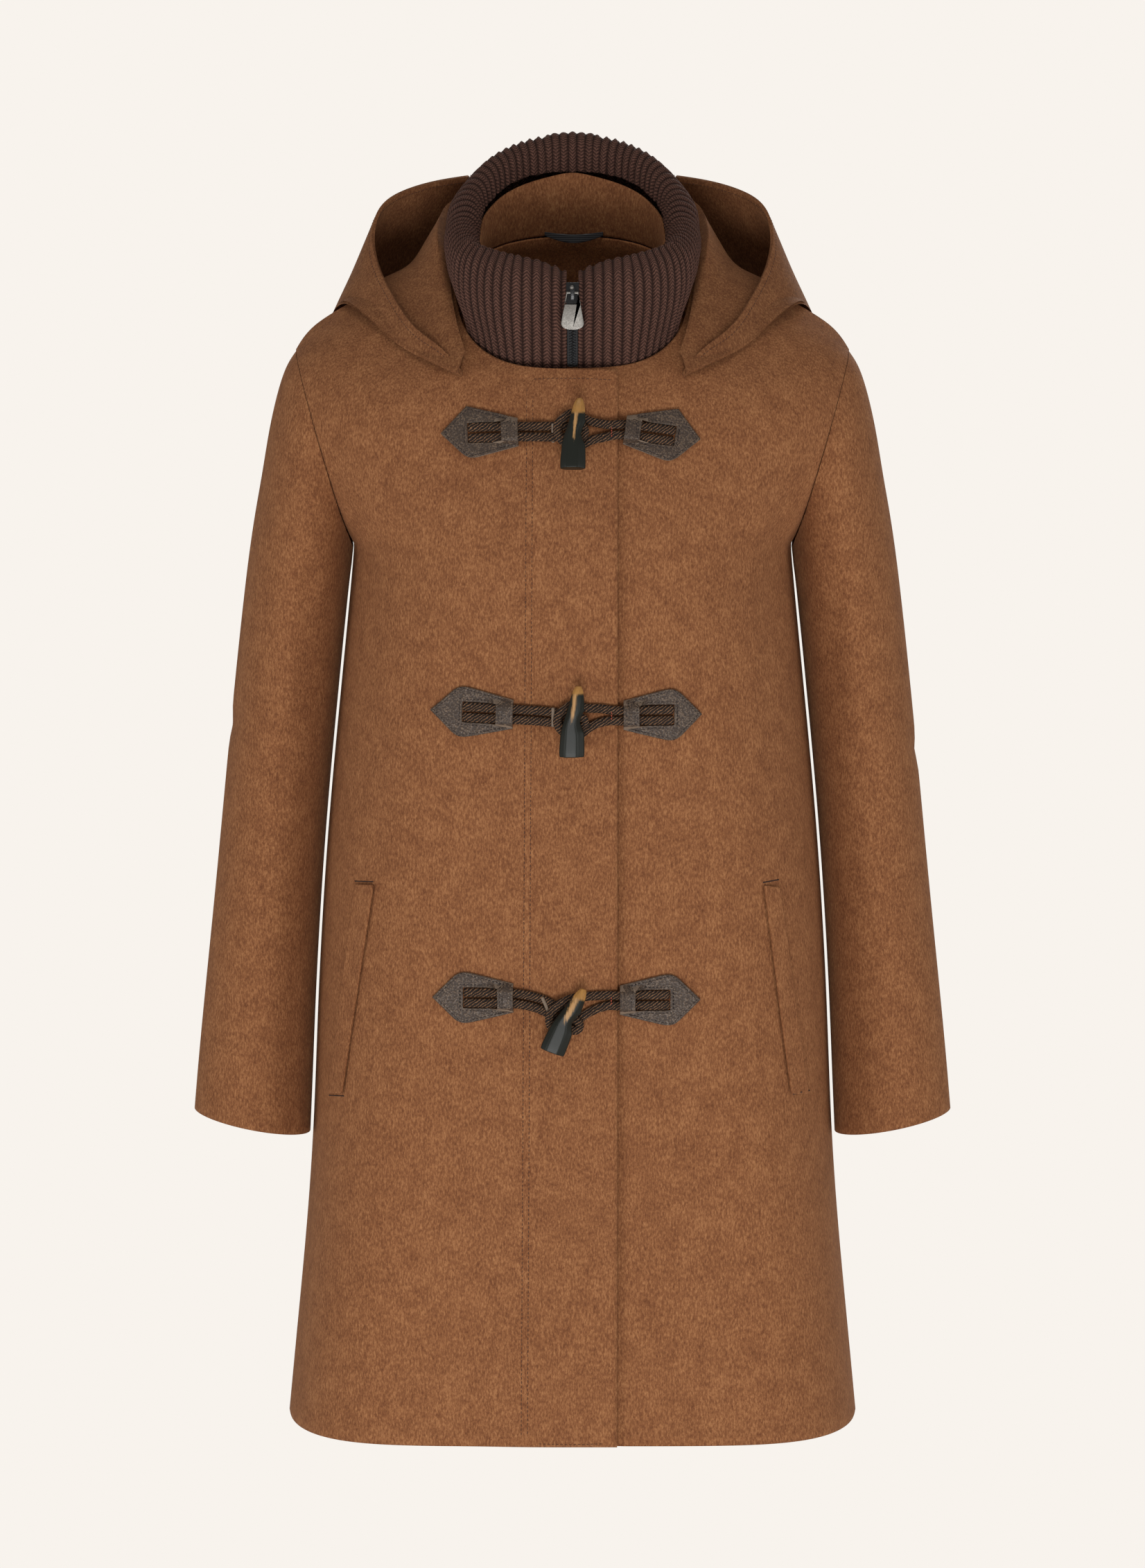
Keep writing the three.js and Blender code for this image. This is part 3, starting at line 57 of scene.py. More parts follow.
camera_data = bpy.data.cameras.new("camera")
camera_data.sensor_width = 36
camera_data.lens = camera_data.sensor_width * VIEW_FAR / (PIXEL * PHOTO_TALL)
camera = bpy.data.objects.new("camera", camera_data)
camera.location = (
    0, -VIEW_FAR * math.cos(VIEW_DOWN), VIEW_MIDDLE + VIEW_FAR * math.sin(VIEW_DOWN),
)
camera.rotation_euler = (math.pi / 2 - VIEW_DOWN, 0, 0)
bpy.context.scene.collection.objects.link(camera)
bpy.context.scene.camera = camera


def look_through(px, py):
    """The direction from the camera through a pixel of the photograph."""
    aim = Vector(((px - PHOTO_WIDE / 2) * PIXEL, (PHOTO_TALL / 2 - py) * PIXEL, -VIEW_FAR))
    return (camera.rotation_euler.to_matrix() @ aim).normalized()


# Studio: a pale round floor where a wearer's feet would be, a plain pale surround, and soft
# lights: ahead and low, so that what faces up is darker than the fronts, at each side, behind, and
# a small one into the neck.
FLOOR_DOWN = -1.48
FLOOR_REACH = 1.5
BACKDROP = "F8F3ED"
SURROUND_LIGHT = 0.36
KEY_POWER = 178
KEY_SIZE = (2.6, 2.0)
KEY_AT = (-0.15, -6.1, -2.4)
SIDE_POWER = 24
SIDE_SIZE = (1.4, 2.2)
SIDE_AT = (3.0, -1.9, -0.9)
BACK_POWER = 170
BACK_AT = (0.6, 4.6, 1.9)
NECK_POWER = 3.5
NECK_AT = (0, -1.0, 1.7)


def linear(code):
    """An sRGB hex colour as linear red, green, blue and alpha."""
    parts = [int(code[i:i + 2], 16) / 255 for i in (0, 2, 4)]
    return [*(c / 12.92 if c <= 0.04045 else ((c + 0.055) / 1.055) ** 2.4 for c in parts), 1]


def node(tree, kind, inputs, **settings):
    """Adds a node with its settings. The inputs name its sockets and what sets or feeds each."""
    made = tree.nodes.new("ShaderNode" + kind)
    for name, value in settings.items():
        setattr(made, name, value)
    for socket, value in inputs.items():
        if isinstance(value, bpy.types.Node):
            value = value.outputs[0]
        if isinstance(value, bpy.types.NodeSocket):
            tree.links.new(value, made.inputs[socket])
        else:
            made.inputs[socket].default_value = value
    return made


def start_material(name):
    """A material with an empty node tree."""
    made = bpy.data.materials.new(name)
    made.use_nodes = True
    made.node_tree.nodes.clear()
    return made, made.node_tree


def end_material(tree, inputs):
    """Gives the material its shader, with these sockets."""
    shader = node(tree, "BsdfPrincipled", inputs)
    node(tree, "OutputMaterial", {"Surface": shader})


def add_object(name, mesh_or_bm, *materials):
    """A finished piece at the origin from a mesh or a bmesh."""
    mesh = mesh_or_bm
    if isinstance(mesh_or_bm, bmesh.types.BMesh):
        mesh = bpy.data.meshes.new(name)
        mesh_or_bm.to_mesh(mesh)
        mesh_or_bm.free()
    made = bpy.data.objects.new(name, mesh)
    bpy.context.scene.collection.objects.link(made)
    for finish in materials:
        mesh.materials.append(finish)
    return made


# Paper: matt and even, a little warm.
paper, tree = start_material("pale_studio_paper")
tooth = node(tree, "TexNoise", {"Vector": node(tree, "TexCoord", {}).outputs["Object"], "Scale": 60})
end_material(tree, {
    "Base Color": linear(BACKDROP), "Roughness": 0.9,
    "Normal": node(tree, "Bump", {"Height": tooth, "Distance": 0.1 * MM}),
})
bm = bmesh.new()
bmesh.ops.create_circle(bm, cap_ends=True, segments=96, radius=FLOOR_REACH,
                        matrix=Matrix.Translation((0, 0, FLOOR_DOWN)))
floor = add_object("studio_floor", bm, paper)

world = bpy.data.worlds.new("studio_surround")
world.use_nodes = True
world.node_tree.nodes.clear()
tree = world.node_tree
seen = node(tree, "LightPath", {}).outputs["Is Camera Ray"]
level = node(tree, "MapRange", {"Value": seen, "To Min": SURROUND_LIGHT, "To Max": 1})
surround = node(tree, "Background", {"Color": linear(BACKDROP), "Strength": level})
node(tree, "OutputWorld", {"Surface": surround})
bpy.context.scene.world = world
bpy.context.scene.view_settings.view_transform = "Standard"


def add_light(name, place, target, size, power):
    """A large rectangular light that looks at a place."""
    data = bpy.data.lights.new(name, "AREA")
    data.shape = "RECTANGLE"
    data.size, data.size_y = size
    data.energy = power
    light = bpy.data.objects.new(name, data)
    light.location = place
    light.rotation_euler = (Vector(target) - Vector(place)).to_track_quat("-Z", "Y").to_euler()
    bpy.context.scene.collection.objects.link(light)


add_light("key", KEY_AT, (0, 0, -0.45), KEY_SIZE, KEY_POWER)
for side in (-1, 1):
    add_light("side", (side * SIDE_AT[0], *SIDE_AT[1:]), (0, 0, -0.5), SIDE_SIZE, SIDE_POWER)
add_light("back", BACK_AT, (0, 0, -0.7), KEY_SIZE, BACK_POWER)
add_light("neck", NECK_AT, (0, 0.03, 0), (0.4, 0.4), NECK_POWER)

# Shell: two fronts, a back and two sleeves, cut from a brushed wool coating and sewn at the sides,
# shoulders and armholes; the right front laps over the left. The cloth hangs from the shoulders in
# long soft folds, and breaks a little at the elbows and armpits.
FLECK_WIDE = 1.3 * MM     # a tuft of combed fibres; a single one is too fine to show
FLECK_TALL = 3.0 * MM
CLOUD = 14 * MM           # uneven brushing
WOOL_DEEP, WOOL_MID, WOOL_LIGHT = "6A3F27", "8B5A39", "AD7950"
SHELL_ROUNDS = 3
MERGE = 0.01 * MM
CUT_EDGE = math.radians(62)   # a sharper fold between two faces is the cloth's cut edge


def brushed_wool(name, shade):
    """Brushed wool (zibeline), combed downwards: matt, soft at its rim, with fine upright flecks of
    lighter and darker fibres. Shade scales all its colours: below 1 it gives a copy with painted
    shade, above 1 a copy with painted light."""
    made, tree = start_material(name)
    place = node(tree, "TexCoord", {}).outputs["Object"]
    combed = node(tree, "Mapping", {
        "Vector": place, "Scale": (1 / FLECK_WIDE, 1 / FLECK_WIDE, 1 / FLECK_TALL)})
    fleck = node(tree, "TexNoise", {"Vector": combed, "Scale": 1, "Detail": 4, "Roughness": 0.7})
    hair = node(tree, "TexNoise", {"Vector": combed, "Scale": 2.6, "Detail": 2, "Roughness": 0.6})
    cloud = node(tree, "TexNoise", {"Vector": place, "Scale": 1 / CLOUD, "Detail": 3})
    spread = node(tree, "MapRange", {"Value": fleck, "From Min": 0.3, "From Max": 0.7})
    drift = node(tree, "MapRange", {
        "Value": cloud, "From Min": 0.3, "From Max": 0.7, "To Min": -0.12, "To Max": 0.12})
    mixed = node(tree, "Math", {0: spread, 1: drift}, operation="ADD")
    # Painted shade or painted light: shade scales all three colours of this copy darker or lighter.
    deep, middle, light = (
        [c * shade for c in linear(code)[:3]] + [1] for code in (WOOL_DEEP, WOOL_MID, WOOL_LIGHT))
    low = node(tree, "Mix", {
        0: node(tree, "MapRange", {"Value": mixed, "From Max": 0.5}), 6: deep, 7: middle},
        data_type="RGBA")
    colour = node(tree, "Mix", {
        0: node(tree, "MapRange", {"Value": mixed, "From Min": 0.5}), 6: low.outputs[2], 7: light},
        data_type="RGBA")
    pile = node(tree, "Math", {0: fleck, 1: hair}, operation="ADD")
    end_material(tree, {
        "Base Color": colour.outputs[2], "Roughness": 0.88, "IOR": 1.5, "Specular IOR Level": 0.2,
        "Sheen Weight": 0.16, "Sheen Roughness": 0.45, "Sheen Tint": linear("C79A72"),
        "Normal": node(tree, "Bump", {"Height": pile, "Distance": 0.35 * MM, "Strength": 0.8}),
    })
    return made


def settle(piece, rounds):
    """Smooths a piece by subdivision, and keeps the result as its mesh."""
    smoother = piece.modifiers.new("smooth", "SUBSURF")
    smoother.levels = smoother.render_levels = rounds
    smoother.use_limit_surface = False
    ready = piece.evaluated_get(bpy.context.evaluated_depsgraph_get())
    smoothed = bpy.data.meshes.new_from_object(ready)
    piece.modifiers.clear()
    piece.data = smoothed
    smoothed.shade_smooth()
    smoothed.set_sharp_from_angle(angle=math.radians(50))


def merged_copy(cad_name):
    """A CAD solid's skin as a bmesh: its loose triangles merged, and paired to four-sided faces."""
    bm = bmesh.new()
    bm.from_mesh(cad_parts[cad_name].data)
    bmesh.ops.remove_doubles(bm, verts=bm.verts, dist=MERGE)
    bmesh.ops.join_triangles(
        bm, faces=bm.faces, angle_face_threshold=math.radians(40),
        angle_shape_threshold=math.radians(75))
    return bm


def shaped_from(cad_name, name, rounds, finish, crisp=0.55, fold=CUT_EDGE):
    """A new piece on a CAD solid's form, made smooth, with its cut edges kept nearly crisp."""
    bm = merged_copy(cad_name)
    creases = bm.edges.layers.float.new("crease_edge")
    for edge in bm.edges:
        if edge.is_manifold and edge.calc_face_angle() > fold:
            edge[creases] = crisp
    piece = add_object(name, bm, finish)
    settle(piece, rounds)
    return piece


def press_folds(piece, folds):
    """Presses given folds into a cloth wall, both of its faces alike. A fold is a line of
    places (across, height) on one side of the coat, its half width and how deep it goes, in mm."""
    count = len(piece.data.vertices)
    places = np.empty(count * 3)
    piece.data.vertices.foreach_get("co", places)
    places = places.reshape(count, 3)
    moved = places.copy()
    for side, line, wide, deep in folds:
        axis, sign = {"front": (1, -1), "back": (1, 1), "right": (0, -1), "left": (0, 1)}[side]
        flat = places[:, [1 - axis, 2]]
        middle = (places[:, axis].max() + places[:, axis].min()) / 2
        facing = np.clip(sign * (places[:, axis] - middle) / 0.03, 0, 1) if piece.get("tube") else 1
        line = np.array(line) * MM
        lengths = np.linalg.norm(np.diff(line, axis=0), axis=1)
        whole = lengths.sum()
        nearest = np.full(count, 1e9)
        share = np.zeros(count)
        before = 0
        for start, end, length in zip(line, line[1:], lengths):
            t = np.clip((flat - start) @ (end - start) / length ** 2, 0, 1)
            away = np.linalg.norm(flat - start - t[:, None] * (end - start), axis=1)
            closer = away < nearest
            nearest = np.where(closer, away, nearest)
            share = np.where(closer, (before + t * length) / whole, share)
            before += length
        fade = np.clip(4 * share * (1 - share), 0, 1) ** 0.7
        held = fade if side != "back" or not piece.get("hangs") else np.clip(share * 2.2, 0, 1)
        moved[:, axis] -= sign * deep * MM * np.exp(-(nearest / (wide * MM)) ** 2) * held * facing
    piece.data.vertices.foreach_set("co", moved.ravel())
    piece.data.update()


def dress(piece, finish_slot, *cad_names, body="coat"):
    """Puts a piece on its body and hides the solids it stands for; the finish slot is not used."""
    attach(piece, body)
    if cad_names:
        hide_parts(*cad_names)


wool = brushed_wool("brushed_wool_zibeline", 1.0)

FRONT_CUT, FRONT_AREA = (0.33, 0.90), 0.2457
SLEEVE_CUT, SLEEVE_AREA = (0.37, 0.60), 0.164

back = shaped_from("back", "wool_back", SHELL_ROUNDS, wool)
back["hangs"] = True
press_folds(back, [
    ("back", [(-150, -330), (-158, -560), (-171, -885)], 26, 5.5),
    ("back", [(-92, -420), (-97, -640), (-104, -885)], 21, 4),
    ("back", [(-38, -300), (-33, -540), (-40, -885)], 24, 4.8),
    ("back", [(24, -470), (29, -680), (26, -885)], 18, 3.2),
    ("back", [(78, -350), (86, -600), (93, -885)], 25, 5),
    ("back", [(146, -440), (155, -650), (166, -885)], 20, 4.2),
])
back["hangs"] = False
press_folds(back, [
    ("back", [(-172, -160), (-150, -205), (-118, -232)], 9, 2.6),
    ("back", [(178, -150), (149, -212), (124, -226)], 10, 2.4),
    ("back", [(-60, -228), (0, -236), (70, -225)], 16, 1.6),
])
dress(back, "wool", "back")

front_right = shaped_from("front_right", "wool_front_right", SHELL_ROUNDS, wool)
press_folds(front_right, [
    ("front", [(-168, -190), (-150, -232), (-139, -300)], 8, 2.2),
    ("front", [(-158, -252), (-148, -330), (-150, -420)], 10, 1.8),
    ("front", [(-112, -650), (-118, -760), (-128, -886)], 20, 1.6),
])
front_left = shaped_from("front_left", "wool_front_left", SHELL_ROUNDS, wool)
press_folds(front_left, [
    ("front", [(163, -168), (148, -230), (144, -310)], 9, 2.8),
    ("front", [(150, -240), (146, -330), (152, -430)], 10, 2.0),
    ("front", [(104, -640), (112, -760), (118, -886)], 22, 1.7),
    ("front", [(31, -60), (31, -500), (31, -930)], 4.5, 2.4),
])

sleeve_right = shaped_from("sleeve_right", "wool_sleeve_right", SHELL_ROUNDS, wool)
sleeve_right["tube"] = True
press_folds(sleeve_right, [
    ("front", [(-186, -190), (-196, -262), (-200, -350)], 9, 2.2),
    ("front", [(-206, -372), (-226, -392), (-246, -399)], 8, 1.8),
    ("front", [(-208, -424), (-230, -436), (-252, -434)], 7, 1.4),
    ("back", [(-204, -330), (-226, -362), (-247, -374)], 9, 2.6),
    ("back", [(-210, -396), (-232, -412), (-252, -407)], 8, 2.2),
    ("right", [(-36, -350), (0, -366), (34, -352)], 9, 1.8),
])
sleeve_left = shaped_from("sleeve_left", "wool_sleeve_left", SHELL_ROUNDS, wool)
sleeve_left["tube"] = True
press_folds(sleeve_left, [
    ("front", [(184, -176), (193, -250), (198, -342)], 10, 2.5),
    ("front", [(205, -384), (227, -406), (248, -404)], 8, 1.7),
    ("front", [(209, -447), (229, -455), (250, -450)], 7, 1.3),
    ("back", [(206, -345), (229, -371), (249, -377)], 9, 2.4),
    ("back", [(211, -420), (231, -431), (253, -421)], 8, 2.1),
    ("left", [(-30, -371), (2, -384), (36, -375)], 9, 1.7),
])
for piece, name, cut, area, carrier in (
    (front_right, "front_right", FRONT_CUT, FRONT_AREA, back),
    (front_left, "front_left", FRONT_CUT, FRONT_AREA, back),
    (sleeve_right, "sleeve_right", SLEEVE_CUT, SLEEVE_AREA, back),
    (sleeve_left, "sleeve_left", SLEEVE_CUT, SLEEVE_AREA, back),
):
    dress(piece, "wool", name)
    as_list(carrier)

# Hood: two sides and a centre strip of the same wool, seamed together and into the neck. It lies
# back on the shoulders with its rim standing open. Its wool is a copy painted darker all over, as
# painted shade for the shadow inside it and under it.
HOOD_ROUNDS = 3
HOOD_SIDE_CUT, HOOD_SIDE_AREA = (0.24, 0.30), 0.0544
HOOD_CENTRE_CUT, HOOD_CENTRE_AREA = (0.22, 0.38), 0.0767
# The hood's wool is painted darker by this much: painted shade.
HOOD_PAINTED_SHADE = 0.78

hood_wool_painted_shade = brushed_wool("brushed_wool_hood_painted_shade", HOOD_PAINTED_SHADE)
hood = {}
for part, cut, area in (
    ("right", HOOD_SIDE_CUT, HOOD_SIDE_AREA), ("left", HOOD_SIDE_CUT, HOOD_SIDE_AREA),
    ("centre", HOOD_CENTRE_CUT, HOOD_CENTRE_AREA),
):
    hood[part] = shaped_from(f"hood_{part}", f"wool_hood_{part}", HOOD_ROUNDS, hood_wool_painted_shade)
    dress(hood[part], "wool", f"hood_{part}")

# Knit collar: a chunky rib knit in dark brown wool, folded over at its top, sewn into the neckline
# and open at the front on a zip. Each rib is a column of V stitches beside a sunk column.
KNIT_ROUNDS = 2
RIB_DEEP = 0.9 * MM
FOLD_ROUND = 12 * MM      # radius of the collar's turn at the top
FOLD_DROP = 11 * MM       # of that turn's middle under the top
FOLD_IN = 10.5 * MM       # of it inside the outer face
STITCH_TALL = 2.6 * MM    # up the rib, a little more than the real 2 mm, so that it shows
ARCH_WIDE, ARCH_LOW = 44 * MM, 6.5 * MM   # the middle of the back's top edge is rounded off
# The yarn's colours; the darker one is also the painted shade in the sunk columns and between the stitch
# legs.
KNIT_DARK_AND_SHADE, KNIT_LIGHT = "2A1914", "6E4D42"


def rib_knit():
    """Dull wool yarn: each rib rounds into the sunk column beside it, with slanting legs of V stitches.
    The sunk columns are painted darker, as painted shade; the gaps between the legs are painted
    darker, partly the stitch pattern and partly painted shade.
    """
    made, tree = start_material("rib_knit_wool")
    place = node(tree, "UVMap", {}, uv_map="ribs")
    parts = node(tree, "SeparateXYZ", {0: place})
    rib = node(tree, "Math", {0: parts.outputs[0], 1: 1}, operation="PINGPONG")
    slant = node(tree, "Math", {0: rib, 1: 1.1, 2: parts.outputs[1]}, operation="MULTIPLY_ADD")
    turn = node(tree, "Math", {0: slant, 1: 2 * math.pi}, operation="MULTIPLY")
    leg = node(tree, "Math", {0: turn}, operation="SINE")
    fuzz = node(tree, "TexNoise", {
        "Vector": node(tree, "TexCoord", {}).outputs["Object"], "Scale": 1 / (1.1 * MM), "Detail": 3})
    # Painted shade: the colour darkens into the sunk column beside each rib and between the stitch legs;
    # the same height feeds the bump.
    valley_relief_and_painted_shade = node(tree, "Math", {0: rib, 1: 2.6}, operation="POWER")
    rounded = node(tree, "MapRange", {"Value": valley_relief_and_painted_shade, "To Min": 1, "To Max": 0.1})
    legs = node(tree, "MapRange", {"Value": leg, "From Min": -1, "To Min": 0.3, "To Max": 1})
    body = node(tree, "Math", {0: rounded, 1: legs}, operation="MULTIPLY")
    tone = node(tree, "Math", {0: body, 1: fuzz}, operation="MULTIPLY")
    spread = node(tree, "MapRange", {"Value": tone, "From Min": 0.08, "From Max": 0.5})
    colour = node(tree, "Mix", {0: spread, 6: linear(KNIT_DARK_AND_SHADE), 7: linear(KNIT_LIGHT)},
                  data_type="RGBA")
    end_material(tree, {
        "Base Color": colour.outputs[2], "Roughness": 0.92, "IOR": 1.5, "Specular IOR Level": 0.2,
        "Sheen Weight": 0.12, "Sheen Roughness": 0.5, "Sheen Tint": linear("8A6F64"),
        "Normal": node(tree, "Bump", {"Height": body, "Distance": 0.8 * MM}),
    })
    return made


knit = shaped_from("knit_collar", "rib_knit_collar", KNIT_ROUNDS, rib_knit(), crisp=0.4)
KNIT_EDGE = Vector((-4.2, -101, -62)) * MM    # at the zip, part way up the outside
RIBS = 84


def rib_line():
    """A line round the collar's outside in plan, from the zip to the zip: a place for each half
    rib, walked along the solid's short edges."""
    bm = merged_copy("knit_collar")
    at = min(bm.verts, key=lambda corner: (corner.co - KNIT_EDGE).length)
    walked = [at]
    while len(walked) <= 2 * RIBS:
        ahead = [(edge.calc_length(), edge.other_vert(at)) for edge in at.link_edges]
        at = min((step for step in ahead if step[1] not in walked), key=lambda step: step[0])[1]
        walked.append(at)
    line = np.array([corner.co.to_tuple()[:2] for corner in walked])
    bm.free()
    return line


def lay_ribs(piece):
    """Gives the collar its map: half ribs round the neck, and stitches along the knit from its turn
    down the outside and down the inside. Then presses the sunk columns in."""
    mesh = piece.data
    count = len(mesh.vertices)
    places, outward = np.empty(count * 3), np.empty(count * 3)
    mesh.vertices.foreach_get("co", places)
    mesh.vertices.foreach_get("normal", outward)
    places, outward = places.reshape(count, 3), outward.reshape(count, 3)
    ring = rib_line()
    ring[1:-1] = (ring[:-2] + 2 * ring[1:-1] + ring[2:]) / 4
    starts, steps = ring[:-1], np.diff(ring, axis=0)
    apart = places[:, None, :2] - starts[None]
    t = np.clip((apart * steps).sum(2) / (steps ** 2).sum(1), 0, 1)
    gaps = apart - t[..., None] * steps
    nearest = np.linalg.norm(gaps, axis=2).argmin(1)
    each = np.arange(count)
    half_rib = nearest + t[each, nearest]
    step = steps[nearest] / np.linalg.norm(steps[nearest], axis=1)[:, None]
    out = (gaps[each, nearest] * np.stack([-step[:, 1], step[:, 0]], 1)).sum(1) + FOLD_IN
    lines = np.arange(len(ring))
    tops = np.array([places[abs(half_rib - line) < 2, 2].max() for line in lines])
    rise = places[:, 2] - np.interp(half_rib, lines, tops) + FOLD_DROP
    angle = np.arctan2(np.maximum(rise, 0), out)
    along = np.where(out > 0, rise, FOLD_ROUND * math.pi - rise)
    along = np.where(rise > 0, FOLD_ROUND * angle, along)
    ribs = mesh.uv_layers.new(name="ribs")
    corners = np.empty(len(mesh.loops), dtype=np.int32)
    mesh.loops.foreach_get("vertex_index", corners)
    ribs.data.foreach_set("uv", np.stack([half_rib, along / STITCH_TALL], 1)[corners].ravel())
    sunk = 0.5 - 0.5 * np.cos(math.pi * half_rib)
    places -= outward * (sunk ** 3 * RIB_DEEP)[:, None]
    arch = np.clip(1 - np.abs(places[:, 0]) / ARCH_WIDE, 0, 1) ** 2 * (places[:, 1] > 0)
    places[:, 2] -= ARCH_LOW * arch * np.clip(1 + rise / (3 * ARCH_WIDE), 0, 1)
    mesh.vertices.foreach_set("co", places.ravel())
    mesh.update()


lay_ribs(knit)
dress(knit, "rib_knit", "knit_collar")

# Inside the neck: a stand of the wool within the knit, a facing of it over the neck seam, and a
# hanger loop of black satin ribbon caught in that seam, slack so that it bows forward.
# The facing's wool is a copy painted lighter by this much: painted light inside the neck, where the knit
# shades it.
FACING_PAINTED_LIGHT = 1.35

stand = shaped_from("collar_stand", "wool_collar_stand", 3, wool)
facing = shaped_from("neck_facing", "wool_neck_facing", 3,
                     brushed_wool("brushed_wool_facing_painted_light", FACING_PAINTED_LIGHT))
dress(stand, "wool", "collar_stand")
dress(facing, "wool", "neck_facing")


def woven_tape(name, tone, thread, roughness):
    """Woven polyester tape: even, fine crosswise threads with a low gloss."""
    made, tree = start_material(name)
    place = node(tree, "TexCoord", {}).outputs["Object"]
    weft = node(tree, "TexWave", {"Vector": place, "Scale": 1 / (thread * 6.28), "Distortion": 0.6},
                bands_direction="Z")
    colour = node(tree, "Mix", {
        0: weft, 6: linear(tone), 7: [c * 1.7 for c in linear(tone)[:3]] + [1]}, data_type="RGBA")
    end_material(tree, {
        "Base Color": colour.outputs[2], "Roughness": roughness, "IOR": 1.5,
        "Normal": node(tree, "Bump", {"Height": weft, "Distance": 0.12 * MM}),
    })
    return made


hanger = shaped_from(
    "hanger_loop", "satin_hanger_loop", 3, woven_tape("black_satin_ribbon", "2B2B2E", 0.7 * MM, 0.35))
dress(hanger, "black_tape", "hanger_loop")

# Pockets: a slanting opening on each front behind a narrow welt of the wool, turned and sewn down,
# with a bar of dark thread across each end.
WELT_ROUNDS = 3
WELT_CUTS = {"right": ((0.020, 0.162), 0.0032), "left": ((0.018, 0.160), 0.0028)}
WELT_ENDS = {                # pixels of the photograph, at each end of a bar
    "right": [((512, 1271), (539, 1272)), ((475, 1580), (496, 1581))],
    "left": [((1101, 1273), (1123, 1269)), ((1144, 1578), (1168, 1573))],
}
BAR_WIDE = 1.5 * MM


def surface_of(*pieces):
    """What a ray meets first of these pieces."""
    bm = bmesh.new()
    for piece in pieces:
        bm.from_mesh(piece.data)
    found = BVHTree.FromBMesh(bm)
    bm.free()
    return found


def seen_on(surface, px, py):
    """The place that a pixel of the photograph shows on a surface, and which way it faces."""
    place, facing_way, face, far = surface.ray_cast(camera.location, look_through(px, py))
    return place, facing_way


def along_line(line, step):
    """Places at even steps along a line of (place, normal), each with the way the line runs."""
    left = step / 2
    for (start, normal), (end, next_normal) in zip(line, line[1:]):
        length = (end - start).length
        while left < length:
            share = left / length
            yield start.lerp(end, share), normal.lerp(next_normal, share), (end - start) / length
            left += step
        left -= length


def lay_stitch(bm, place, normal, along, long, wide, tall):
    """Adds one stitch of thread: a small rounded spindle half sunk in what it is sewn through."""
    across = normal.cross(along).normalized()
    over = along.cross(across)
    turned = Matrix((along * long, across * wide, over * tall)).transposed().to_4x4()
    bmesh.ops.create_uvsphere(
        bm, u_segments=4, v_segments=6, radius=0.5,
        matrix=Matrix.Translation(place) @ turned @ Matrix.Rotation(math.pi / 2, 4, "Y"))


def sew(name, lines, finish, long=2.3 * MM, step=3.2 * MM, wide=0.55 * MM, tall=0.5 * MM):
    """One piece of all the stitches along some lines."""
    bm = bmesh.new()
    for line in lines:
        for place, normal, along in along_line(line, step):
            lay_stitch(bm, place, normal, along, long, wide, tall)
    piece = add_object(name, bm, finish)
    piece.data.shade_smooth()
    return piece


def thread(name, tone, roughness=0.6):
    """Twisted polyester sewing thread: a low gloss broken by its twist."""
    made, tree = start_material(name)
    twist = node(tree, "TexNoise", {
        "Vector": node(tree, "TexCoord", {}).outputs["Object"], "Scale": 1 / (0.5 * MM)})
    deep = [c * 0.6 for c in linear(tone)[:3]] + [1]
    colour = node(tree, "Mix", {0: twist, 6: deep, 7: linear(tone)}, data_type="RGBA")
    end_material(tree, {
        "Base Color": colour.outputs[2], "Roughness": roughness, "IOR": 1.5,
        "Normal": node(tree, "Bump", {"Height": twist, "Distance": 0.1 * MM}),
    })
    return made


dark_thread = thread("dark_brown_thread", "3A2013")
fronts = surface_of(front_right, front_left)
welts = {}
for side, (cut, area) in WELT_CUTS.items():
    welts[side] = shaped_from(f"welt_{side}", f"wool_welt_{side}", WELT_ROUNDS, wool, crisp=0.4)
    dress(welts[side], "wool", f"welt_{side}")
bars = []
for side, ends in WELT_ENDS.items():
    shown = surface_of(welts[side], front_right, front_left)
    for first, last in ends:
        bars.append([seen_on(shown, *mix) for mix in (
            first, ((first[0] + last[0]) / 2, (first[1] + last[1]) / 2), last)])
bar_tacks = sew("pocket_bar_tacks", bars, dark_thread, long=BAR_WIDE, step=0.9 * MM, wide=1.3 * MM,
                tall=1.2 * MM)
dress(bar_tacks, "wool")

# Topstitching: two rows down the placket, one across the neck of the right front and along its
# hem, and one inside the hood's rim, in thread of the wool's own brown, sunk in the pile.
PLACKET_ROWS = [             # pixels of the photograph
    [(760, 560), (758, 900), (756, 1300), (754, 1700), (752, 2070)],
    [(769, 547), (767, 900), (765, 1300), (763, 1700), (761, 2070)],
]
NECK_ROW = [(769, 547), (800, 546), (840, 546), (880, 548)]
HEM_ROW = [(776, 2083), (820, 2084), (868, 2083)]
RIM_IN = 4.5                 # mm
HOOD_RIM = [(75, -99, -98), (95, -84, -76), (117, -68, -61), (134, -38, -38), (146, -4, -16),
            (150, 24, 6), (141, 52, 27), (106, 80, 40), (58, 104, 45), (0, 112, 46)]
HOOD_OUTSIDE = [(76, -99, -100), (99, -88, -86), (126, -66, -68), (146, -38, -52), (160, -6, -33),
                (166, 26, -28), (160, 66, -26), (128, 110, -44), (72, 138, -62), (0, 148, -68)]

wool_thread = thread("wool_brown_thread", "5A3520")


def rounded_line(points, parts=6):
    """Places along a smooth curve (Catmull-Rom) through some points."""
    points = [Vector(p) for p in points]
    ends = [2 * points[0] - points[1], *points, 2 * points[-1] - points[-2]]
    for a, b, c, d in zip(ends, ends[1:], ends[2:], ends[3:]):
        for t in (i / parts for i in range(parts)):
            yield 0.5 * (2 * b + (c - a) * t + (2 * a - 5 * b + 4 * c - d) * t ** 2
                         + (3 * b - a - 3 * c + d) * t ** 3)
    yield points[-1]


